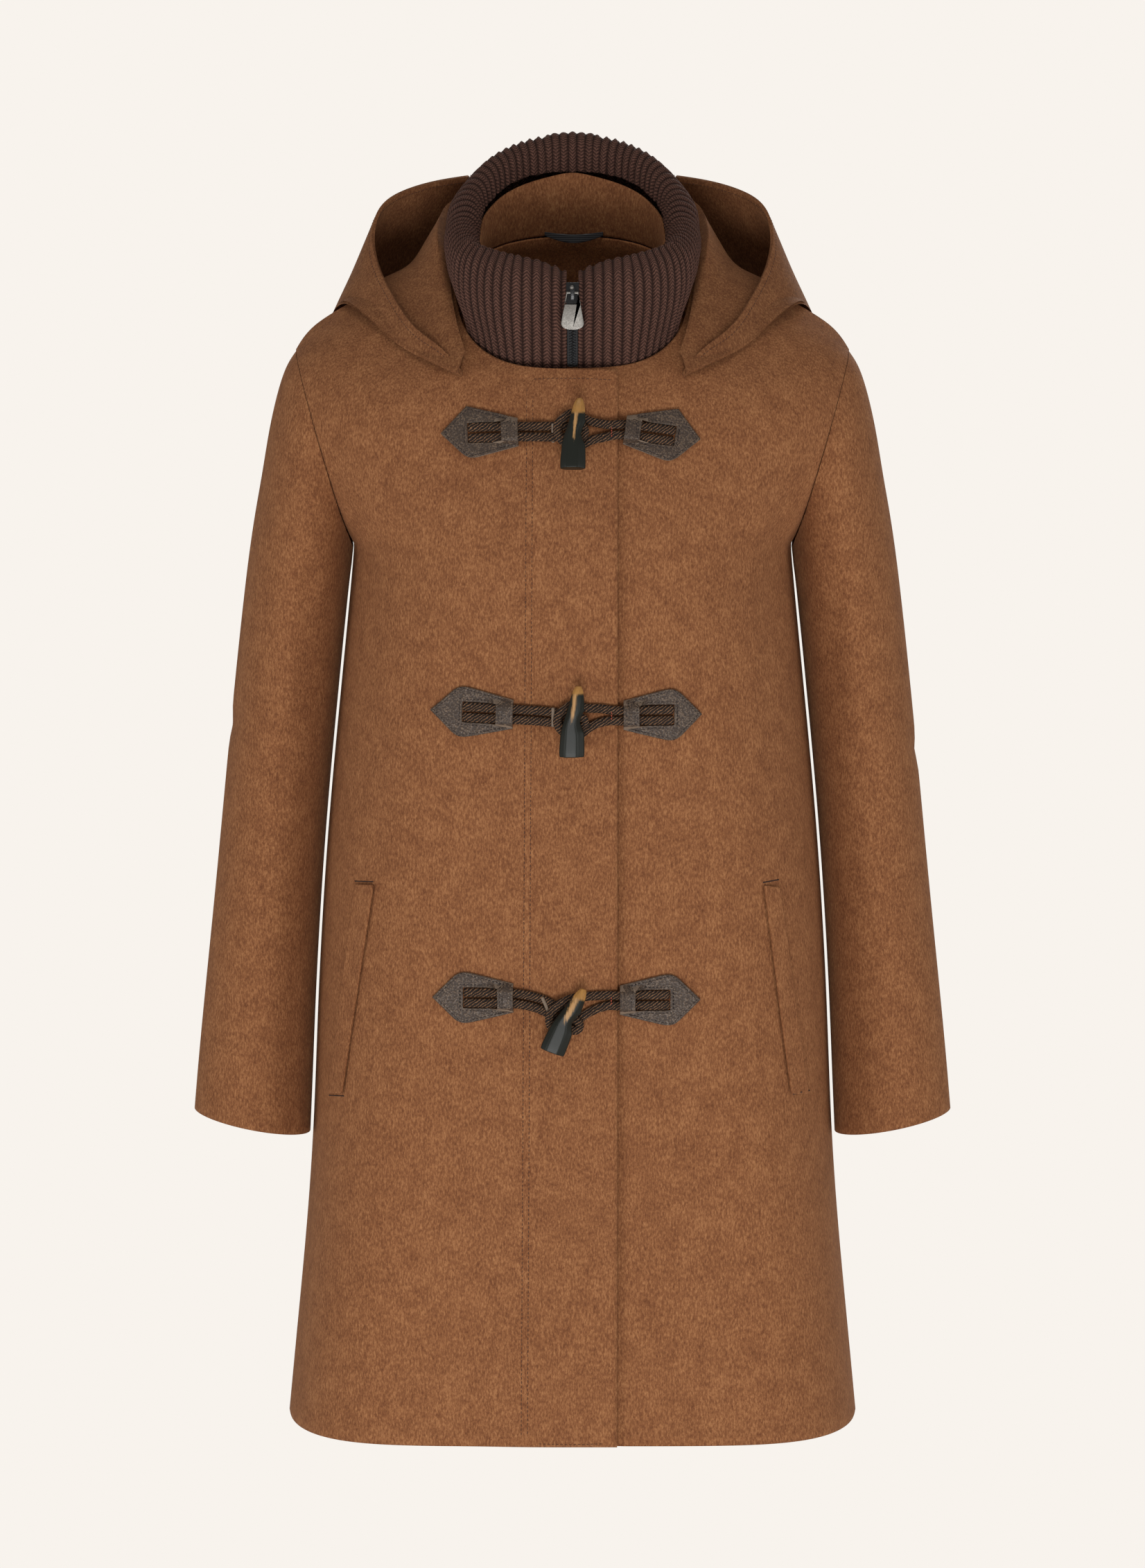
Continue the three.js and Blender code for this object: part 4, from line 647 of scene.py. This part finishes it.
def on_front(points):
    """A line of photograph pixels as places on the fronts, dense enough to follow them."""
    return [seen_on(fronts, p.x, p.y) for p in rounded_line([(*p, 0) for p in points], 12)]


shell_rows = [on_front(row) for row in (*PLACKET_ROWS, NECK_ROW, HEM_ROW)]
shell_stitches = sew("placket_topstitching", shell_rows, wool_thread, wide=0.6 * MM, tall=0.7 * MM)
dress(shell_stitches, "wool")

hoods = surface_of(*hood.values())
rim_rows = []
for mirror in (1, -1):
    line = []
    for rim, outside in zip(rounded_line(HOOD_RIM), rounded_line(HOOD_OUTSIDE)):
        inside = rim + (outside - rim).normalized() * RIM_IN
        inside = Vector((mirror * inside.x, inside.y, inside.z)) * MM
        place, normal, face, far = hoods.find_nearest(inside)
        line.append((place, normal))
    rim_rows.append(line[4:])
    inner = []
    for place, normal in line[4:]:
        through, facing_way, face, far = hoods.ray_cast(place - normal * 1.2 * MM, -normal, 5 * MM)
        if through:
            inner.append((through, facing_way))
    rim_rows.append(inner)
rim_stitches = sew("hood_topstitching", rim_rows, wool_thread, wide=0.6 * MM, tall=0.7 * MM)
dress(rim_stitches, "wool")

# Closures' patches: grained cowhide, cut to five sides with a window for the cords, its edges
# raw and paler, stitched down all round and across both ends of the window.
SEAM_IN = 1.9                # mm, from the outline to the seam
EDGE_CRISP = 0.9
PEBBLE = 1.25 * MM
LEATHER_DARK, LEATHER_TONE, LEATHER_EDGE = "3B2D23", "705C4A", "8F7F70"


def cowhide():
    """Grained cowhide, waxed: small pebbles with a gloss on their tops, duller in between."""
    made, tree = start_material("grained_cowhide")
    place = node(tree, "TexCoord", {}).outputs["Object"]
    bent = node(tree, "TexNoise", {"Vector": place, "Scale": 1 / (3 * MM), "Detail": 2})
    moved = node(tree, "VectorMath", {0: bent.outputs["Color"], "Scale": 1.2 * MM}, operation="SCALE")
    spot = node(tree, "VectorMath", {0: place, 1: moved.outputs[0]}, operation="ADD")
    pebble = node(tree, "TexVoronoi", {"Vector": spot.outputs[0], "Scale": 1 / PEBBLE},
                  feature="SMOOTH_F1")
    top = node(tree, "MapRange", {
        "Value": pebble.outputs["Distance"], "From Min": 0.1, "From Max": 0.62, "To Min": 1, "To Max": 0})
    rub = node(tree, "TexNoise", {"Vector": place, "Scale": 1 / (6 * MM), "Detail": 3})
    tone = node(tree, "Math", {0: top, 1: rub}, operation="MULTIPLY")
    colour = node(tree, "Mix", {
        0: node(tree, "MapRange", {"Value": tone, "From Min": 0.1, "From Max": 0.6}),
        6: linear(LEATHER_DARK), 7: linear(LEATHER_TONE)}, data_type="RGBA")
    gloss = node(tree, "MapRange", {"Value": top, "To Min": 0.62, "To Max": 0.33})
    end_material(tree, {
        "Base Color": colour.outputs[2], "Roughness": gloss, "IOR": 1.5,
        "Normal": node(tree, "Bump", {"Height": top, "Distance": 0.28 * MM}),
    })
    return made


def raw_leather_edge():
    """The cut edge of the hide: dull, fibrous, paler than its face."""
    made, tree = start_material("cut_leather_edge")
    fibre = node(tree, "TexNoise", {
        "Vector": node(tree, "TexCoord", {}).outputs["Object"], "Scale": 1 / (0.6 * MM), "Detail": 3})
    colour = node(tree, "Mix", {0: fibre, 6: linear(LEATHER_TONE), 7: linear(LEATHER_EDGE)},
                  data_type="RGBA")
    end_material(tree, {
        "Base Color": colour.outputs[2], "Roughness": 0.75, "IOR": 1.5,
        "Normal": node(tree, "Bump", {"Height": fibre, "Distance": 0.15 * MM}),
    })
    return made


hide, hide_edge = cowhide(), raw_leather_edge()
seam_thread = thread("dark_red_brown_thread", "20100C")

# Each row's patches: where they start at the cords (across, height), their tips' drop in degrees.
ROWS = {
    1: {"right": (-39.5, -135, 2.1), "left": (38.2, -133.7, 7.9)},
    2: {"right": (-43.3, -339.5, -1.8), "left": (37.2, -340.5, 0)},
    3: {"right": (-43.3, -549.4, 0.3), "left": (34.8, -551.3, 0)},
}
STRIP_ROWS = (8.4, 39.6)     # mm along a patch, of the two short rows of stitches
STRIP_TALL = 6.2


def chained(edges):
    """The corners of these edges, in loops."""
    left = set(edges)
    while left:
        edge = left.pop()
        first, at = edge.verts
        loop = [first, at]
        while at is not first:
            edge = next(e for e in at.link_edges if e in left)
            left.remove(edge)
            at = edge.other_vert(at)
            loop.append(at)
        yield loop


def leather_patch(cad_name):
    """A patch on its solid's form, with its edges nearly crisp; and its outline in mm, in plan."""
    bm = merged_copy(cad_name)
    bm.normal_update()
    face_up = [f for f in bm.faces if f.normal.y < -0.55]
    borders = {e for f in face_up for e in f.edges if sum(g in face_up for g in e.link_faces) == 1}
    loops = sorted(chained(borders), key=lambda loop: max(c.co.x for c in loop) - min(c.co.x for c in loop))
    outline = [Vector((corner.co.x, corner.co.z)) / MM for corner in loops[-1][1:]]
    bm.free()
    patch = shaped_from(cad_name, f"leather_{cad_name}", 3, hide, crisp=EDGE_CRISP)
    patch.data.materials.append(hide_edge)
    for face in patch.data.polygons:
        face.material_index = 0 if abs(face.normal.y) > 0.6 else 1
    return patch, outline


def set_in(outline, far):
    """A closed outline moved inwards by so much."""
    if sum(a.cross(b) for a, b in zip(outline, outline[1:] + outline[:1])) < 0:
        outline = outline[::-1]
    for before, here, after in zip(outline[-1:] + outline, outline, outline[1:] + outline[:1]):
        first, last = (here - before).normalized(), (after - here).normalized()
        first, last = Vector((-first.y, first.x)), Vector((-last.y, last.x))
        yield here + (first + last) * far / (1 + first.dot(last))


def straight_on(surface, x, z):
    """The place on a surface seen from straight ahead at (x, z) in mm, and which way it faces."""
    place, facing_way, face, far = surface.ray_cast(Vector((x * MM, -1, z * MM)), Vector((0, 1, 0)))
    return place, facing_way


seams = []
for row, sides in ROWS.items():
    for side, (x, z, drop) in sides.items():
        cad_name = f"patch_{side}_{row}"
        patch, outline = leather_patch(cad_name)
        dress(patch, "leather", cad_name)
        shown = surface_of(patch)
        seam = [straight_on(shown, place.x, place.y) for place in set_in(outline, SEAM_IN)]
        seam = [(place, normal) for place, normal in seam if place]
        seams.append(seam + seam[:1])
        outward = -1 if side == "right" else 1
        level, fall = math.cos(math.radians(drop)), math.sin(math.radians(drop))
        for along in STRIP_ROWS:
            seams.append([
                straight_on(shown, x + outward * (along * level + up * fall), z + up * level - along * fall)
                for up in (STRIP_TALL, STRIP_TALL / 3, -STRIP_TALL / 3, -STRIP_TALL)
            ])
patch_seams = sew("patch_seams", seams, seam_thread, long=1.9 * MM, step=2.7 * MM, wide=0.6 * MM,
                  tall=0.55 * MM)
dress(patch_seams, "leather")

# Closures' cords: a flat braid of brown cotton, in a twill whose ridges slant across it. One cord
# holds the toggle, the other goes over it. A leather keeper holds the first, a red bar the second.
TWILL = 1.9 * MM          # the real ridges, 1.2 mm apart, are too fine to show
TWILL_SLANT = math.radians(36)
CORD_DARK, CORD_LIGHT = "1A100B", "9A7252"
KEEPERS = {1: (-14.2, -135.2, 0), 2: (-14.2, -341.3, 0), 3: (-19.5, -554.6, 24)}  # x, z, turn
KEEPER_SIZE = (2.3 * MM, 4.5 * MM, 14 * MM)
BAR = {1: (28.5, -134.0), 2: (28.5, -340.6), 3: (28.5, -551.2)}
BAR_TALL = 3.4


def braid():
    """Braided cotton cord: dark yarn under slanting ridges of lighter thread, matt."""
    made, tree = start_material("braided_cotton_cord")
    place = node(tree, "TexCoord", {}).outputs["Object"]
    across = node(tree, "VectorMath", {
        0: place, 1: (-math.sin(TWILL_SLANT) / TWILL, 0, math.cos(TWILL_SLANT) / TWILL)},
        operation="DOT_PRODUCT")
    uneven = node(tree, "TexNoise", {"Vector": place, "Scale": 1 / (4 * MM), "Detail": 2})
    phase = node(tree, "Math", {0: uneven, 1: 1.2, 2: across.outputs[1]}, operation="MULTIPLY_ADD")
    wave = node(tree, "Math", {0: node(tree, "Math", {0: phase, 1: 2 * math.pi}, operation="MULTIPLY")},
                operation="SINE")
    ridge = node(tree, "MapRange", {"Value": wave, "From Min": -0.7, "From Max": 1})
    fleck = node(tree, "TexNoise", {"Vector": place, "Scale": 1 / (0.8 * MM), "Detail": 2})
    glint = node(tree, "MapRange", {"Value": fleck, "From Min": 0.42, "From Max": 0.66, "To Min": 0.25})
    thin = node(tree, "Math", {0: ridge, 1: 2.2}, operation="POWER")
    light = node(tree, "Math", {0: thin, 1: glint}, operation="MULTIPLY")
    colour = node(tree, "Mix", {0: light, 6: linear(CORD_DARK), 7: linear(CORD_LIGHT)}, data_type="RGBA")
    end_material(tree, {
        "Base Color": colour.outputs[2], "Roughness": 0.7, "IOR": 1.5, "Specular IOR Level": 0.3,
        "Normal": node(tree, "Bump", {"Height": ridge, "Distance": 0.45 * MM}),
    })
    return made


cotton = braid()
red_thread = thread("rust_red_thread", "B0523A")
bar_lines = []
for row in ROWS:
    cords = {}
    for kind in ("toggle_cord", "loop_cord"):
        cords[kind] = shaped_from(f"{kind}_{row}", f"braided_{kind}_{row}", 3, cotton,
                                  crisp=0, fold=math.pi)
        dress(cords[kind], "cord", f"{kind}_{row}")
    x, z, turn = KEEPERS[row]
    place, facing_way = straight_on(surface_of(cords["toggle_cord"]), x, z + 3)
    bm = bmesh.new()
    bmesh.ops.create_cube(bm, size=1, matrix=Matrix.Diagonal((*KEEPER_SIZE, 1)))
    bmesh.ops.bevel(bm, geom=bm.edges, affect="EDGES", offset=0.6 * MM, segments=3, profile=0.5,
                    material=-1)
    seat = Vector((x * MM, place.y + KEEPER_SIZE[1] / 2 - 0.45 * MM, z * MM))
    bmesh.ops.transform(bm, verts=bm.verts, matrix=Matrix.Translation(seat)
                        @ Matrix.Rotation(math.radians(-turn), 4, "Y"))
    keeper = add_object(f"leather_keeper_{row}", bm, hide_edge)
    keeper.data.shade_smooth()
    dress(keeper, "leather")
    x, z = BAR[row]
    loop = surface_of(cords["loop_cord"])
    bar_lines.append([straight_on(loop, x, z + up) for up in (BAR_TALL, 1.6, -1.6, -BAR_TALL)])
red_bars = sew("cord_bar_tacks", [line for line in bar_lines if all(p for p, n in line)], red_thread,
               long=1.7 * MM, step=2.1 * MM, wide=1.1 * MM, tall=0.9 * MM)
dress(red_bars, "cord")

# Toggles: buffalo horn, cut to a tapering peg with flat facets and a notch at its side, polished.
# The horn is green-black, with a golden tip and a streak of paler horn down its face.
TOGGLES = {                  # middle (x, z), lean in degrees; where the streak ends, its half width
    1: {"x": 2.6, "z": -138.6, "lean": 0, "streak": 0.60, "wide": 1.7, "tip": 0.14},
    2: {"x": 1.8, "z": -342.6, "lean": 0, "streak": 0.60, "wide": 2.1, "tip": 0.13},
    3: {"x": -3.5, "z": -563.8, "lean": 21, "streak": 0.64, "wide": 3.1, "tip": 0.16},
}
TOGGLE_LONG = 52
HORN_BLACK, HORN_TAN, HORN_GOLD = "171A14", "B58A58", "A87A40"


def polished_horn():
    """Horn, rubbed to a half gloss: nearly black, with fibres of pale horn that fray into it
    along its length."""
    made, tree = start_material("polished_buffalo_horn")
    place = node(tree, "TexCoord", {}).outputs["Object"]
    drawn = node(tree, "Mapping", {
        "Vector": place, "Scale": (1 / (1.1 * MM), 1 / (2 * MM), 1 / (11 * MM))})
    fibre = node(tree, "TexNoise", {"Vector": drawn, "Scale": 1, "Detail": 4, "Roughness": 0.6})
    streak = node(tree, "Attribute", {}, attribute_name="streak").outputs["Fac"]
    tip = node(tree, "Attribute", {}, attribute_name="tip").outputs["Fac"]
    frayed = node(tree, "Math", {0: fibre, 1: 0.55}, operation="SUBTRACT")
    frayed = node(tree, "Math", {0: frayed, 1: 1.6, 2: streak}, operation="MULTIPLY_ADD")
    pale = node(tree, "MapRange", {"Value": frayed, "From Min": 0.25, "From Max": 0.85})
    body = node(tree, "Mix", {0: pale, 6: linear(HORN_BLACK), 7: linear(HORN_TAN)}, data_type="RGBA")
    gold = node(tree, "Mix", {0: fibre, 6: [c * 0.45 for c in linear(HORN_GOLD)[:3]] + [1],
                              7: [c * 1.5 for c in linear(HORN_GOLD)[:3]] + [1]}, data_type="RGBA")
    colour = node(tree, "Mix", {0: tip, 6: body.outputs[2], 7: gold.outputs[2]}, data_type="RGBA")
    end_material(tree, {
        "Base Color": colour.outputs[2], "Roughness": 0.4, "IOR": 1.5, "Specular IOR Level": 0.32,
        "Normal": node(tree, "Bump", {"Height": fibre, "Distance": 0.05 * MM}),
    })
    return made


horn = polished_horn()
for row, peg in TOGGLES.items():
    toggle = shaped_from(f"toggle_{row}", f"horn_toggle_{row}", 3, horn, crisp=0.45,
                         fold=math.radians(24))
    count = len(toggle.data.vertices)
    places = np.empty(count * 3)
    toggle.data.vertices.foreach_get("co", places)
    places = places.reshape(count, 3) / MM
    lean = math.radians(peg["lean"])
    side, drop = places[:, 0] - peg["x"], peg["z"] - places[:, 2]
    across = side * math.cos(lean) + drop * math.sin(lean)
    share = (drop * math.cos(lean) - side * math.sin(lean)) / TOGGLE_LONG + 0.5
    off_line = np.abs(across - (0.8 - 5.5 * share)) / (peg["wide"] * (1.15 - share))
    ended = np.clip((peg["streak"] - share) / 0.2, 0, 1)
    for name, values in (
        ("streak", np.clip(1.35 - off_line, 0, 1) * ended),
        ("tip", np.clip((peg["tip"] - share) / 0.025, 0, 1)),
    ):
        toggle.data.attributes.new(name, "FLOAT", "POINT").data.foreach_set("value", values)
    dress(toggle, "horn", f"toggle_{row}")

# Zip: two black twill tapes sewn along the collar's edges, a coil of black nylon between them,
# a black enamelled slider, and a cast zinc pull, nickel plated and brushed, left unmarked.
ZIP_LINE = [(-91.5, -89), (-94.2, -80), (-98.6, -64), (-101.1, -50), (-101.2, -44)]
TOOTH = (3.3 * MM, 1.0 * MM, 0.85 * MM)
TOOTH_STEP = 1.05 * MM
TOOTH_OUT = 1.35 * MM
RIVET_AT = (-0.5, -30)       # mm across and up, on the slider's bridge
RIVET = 1.6 * MM
EYE_HALF, EYE_OVER = 2.7 * MM, -50 * MM     # where the pull's eye is, to make it wider


def enamel(name, tone, roughness):
    """Stoved black enamel or moulded nylon: smooth, with fine specks in its gloss."""
    made, tree = start_material(name)
    speck = node(tree, "TexNoise", {
        "Vector": node(tree, "TexCoord", {}).outputs["Object"], "Scale": 1 / (1.2 * MM), "Detail": 3})
    rough = node(tree, "MapRange", {"Value": speck, "To Min": roughness - 0.08, "To Max": roughness + 0.1})
    colour = node(tree, "Mix", {0: speck, 6: linear(tone), 7: [c * 1.6 for c in linear(tone)[:3]] + [1]},
                  data_type="RGBA")
    end_material(tree, {
        "Base Color": colour.outputs[2], "Roughness": rough, "IOR": 1.5,
        "Normal": node(tree, "Bump", {"Height": speck, "Distance": 0.03 * MM}),
    })
    return made


def plated_zinc():
    """Brushed nickel plate on cast zinc: a warm grey metal, finely scratched, dull in its dips."""
    made, tree = start_material("brushed_nickel_plate")
    place = node(tree, "TexCoord", {}).outputs["Object"]
    brushed = node(tree, "Mapping", {
        "Vector": place, "Scale": (1 / (0.9 * MM), 1 / (3 * MM), 1 / (0.5 * MM))})
    scratch = node(tree, "TexNoise", {"Vector": brushed, "Scale": 1, "Detail": 4})
    colour = node(tree, "Mix", {0: scratch, 6: linear("5E5B57"), 7: linear("A5A19B")}, data_type="RGBA")
    end_material(tree, {
        "Base Color": colour.outputs[2], "Metallic": 1.0,
        "Roughness": node(tree, "MapRange", {"Value": scratch, "To Min": 0.62, "To Max": 0.38}),
        "Normal": node(tree, "Bump", {"Height": scratch, "Distance": 0.06 * MM}),
    })
    return made


zip_cloth = woven_tape("black_zip_tape", "141416", 0.8 * MM, 0.7)
tapes = []
for side in ("right", "left"):
    tapes.append(shaped_from(f"zip_tape_{side}", f"twill_zip_tape_{side}", 2, zip_cloth))
    dress(tapes[-1], "black_tape", f"zip_tape_{side}")
tape_front = surface_of(*tapes)
bm = bmesh.new()
line = [(Vector((0, y * MM, z * MM)), Vector((0, -1, 0))) for y, z in ZIP_LINE]
for count, (place, facing_way, along) in enumerate(along_line(line, TOOTH_STEP)):
    side = 1 if count % 2 else -1
    seat, normal, face, far = tape_front.ray_cast(
        Vector((side * TOOTH_OUT, -1, place.z)), Vector((0, 1, 0)))
    turned = Matrix((Vector((1, 0, 0)), normal, along)).transposed().to_4x4()
    bmesh.ops.create_cube(bm, size=1, matrix=Matrix.Translation(
        Vector((side * TOOTH_OUT * 0.75, seat.y, place.z)) + normal * TOOTH[1] * 0.4)
        @ turned @ Matrix.Diagonal((*TOOTH, 1)))
bmesh.ops.bevel(bm, geom=bm.edges, affect="EDGES", offset=0.28 * MM, segments=1, profile=0.5,
                material=-1)
teeth = add_object("nylon_zip_coil", bm, enamel("black_nylon", "17181A", 0.32))
teeth.data.shade_smooth()
dress(teeth, "black_tape")

slider = add_object("enamelled_zip_slider", merged_copy("zip_slider"),
                    enamel("black_stoved_enamel", "0F1012", 0.28))
dress(slider, "black_metal", "zip_slider")
bm = merged_copy("zip_pull")
eye = [corner for corner in bm.verts if abs(corner.co.x) < EYE_HALF and corner.co.z > EYE_OVER]
eye_low, eye_high = (pick(corner.co.z for corner in eye) for pick in (min, max))
for corner in eye:
    corner.co.x *= 1.5 + 0.9 * (eye_high - corner.co.z) / (eye_high - eye_low)
pull = add_object("nickel_zip_pull", bm, plated_zinc())
dress(pull, "silver_metal", "zip_pull", body="pull")
for piece, rounding in ((slider, 0.7 * MM), (pull, 0.45 * MM)):
    softened = piece.modifiers.new("rounded", "BEVEL")
    softened.width, softened.segments, softened.limit_method = rounding, 3, "ANGLE"
    piece.data.shade_smooth()
place, facing_way = straight_on(surface_of(slider), *RIVET_AT)
bm = bmesh.new()
bmesh.ops.create_uvsphere(bm, u_segments=24, v_segments=12, radius=RIVET, matrix=Matrix.Translation(place))
rivet = add_object("nickel_slider_rivet", bm, plated_zinc())
rivet.data.shade_smooth()
dress(rivet, "silver_metal")
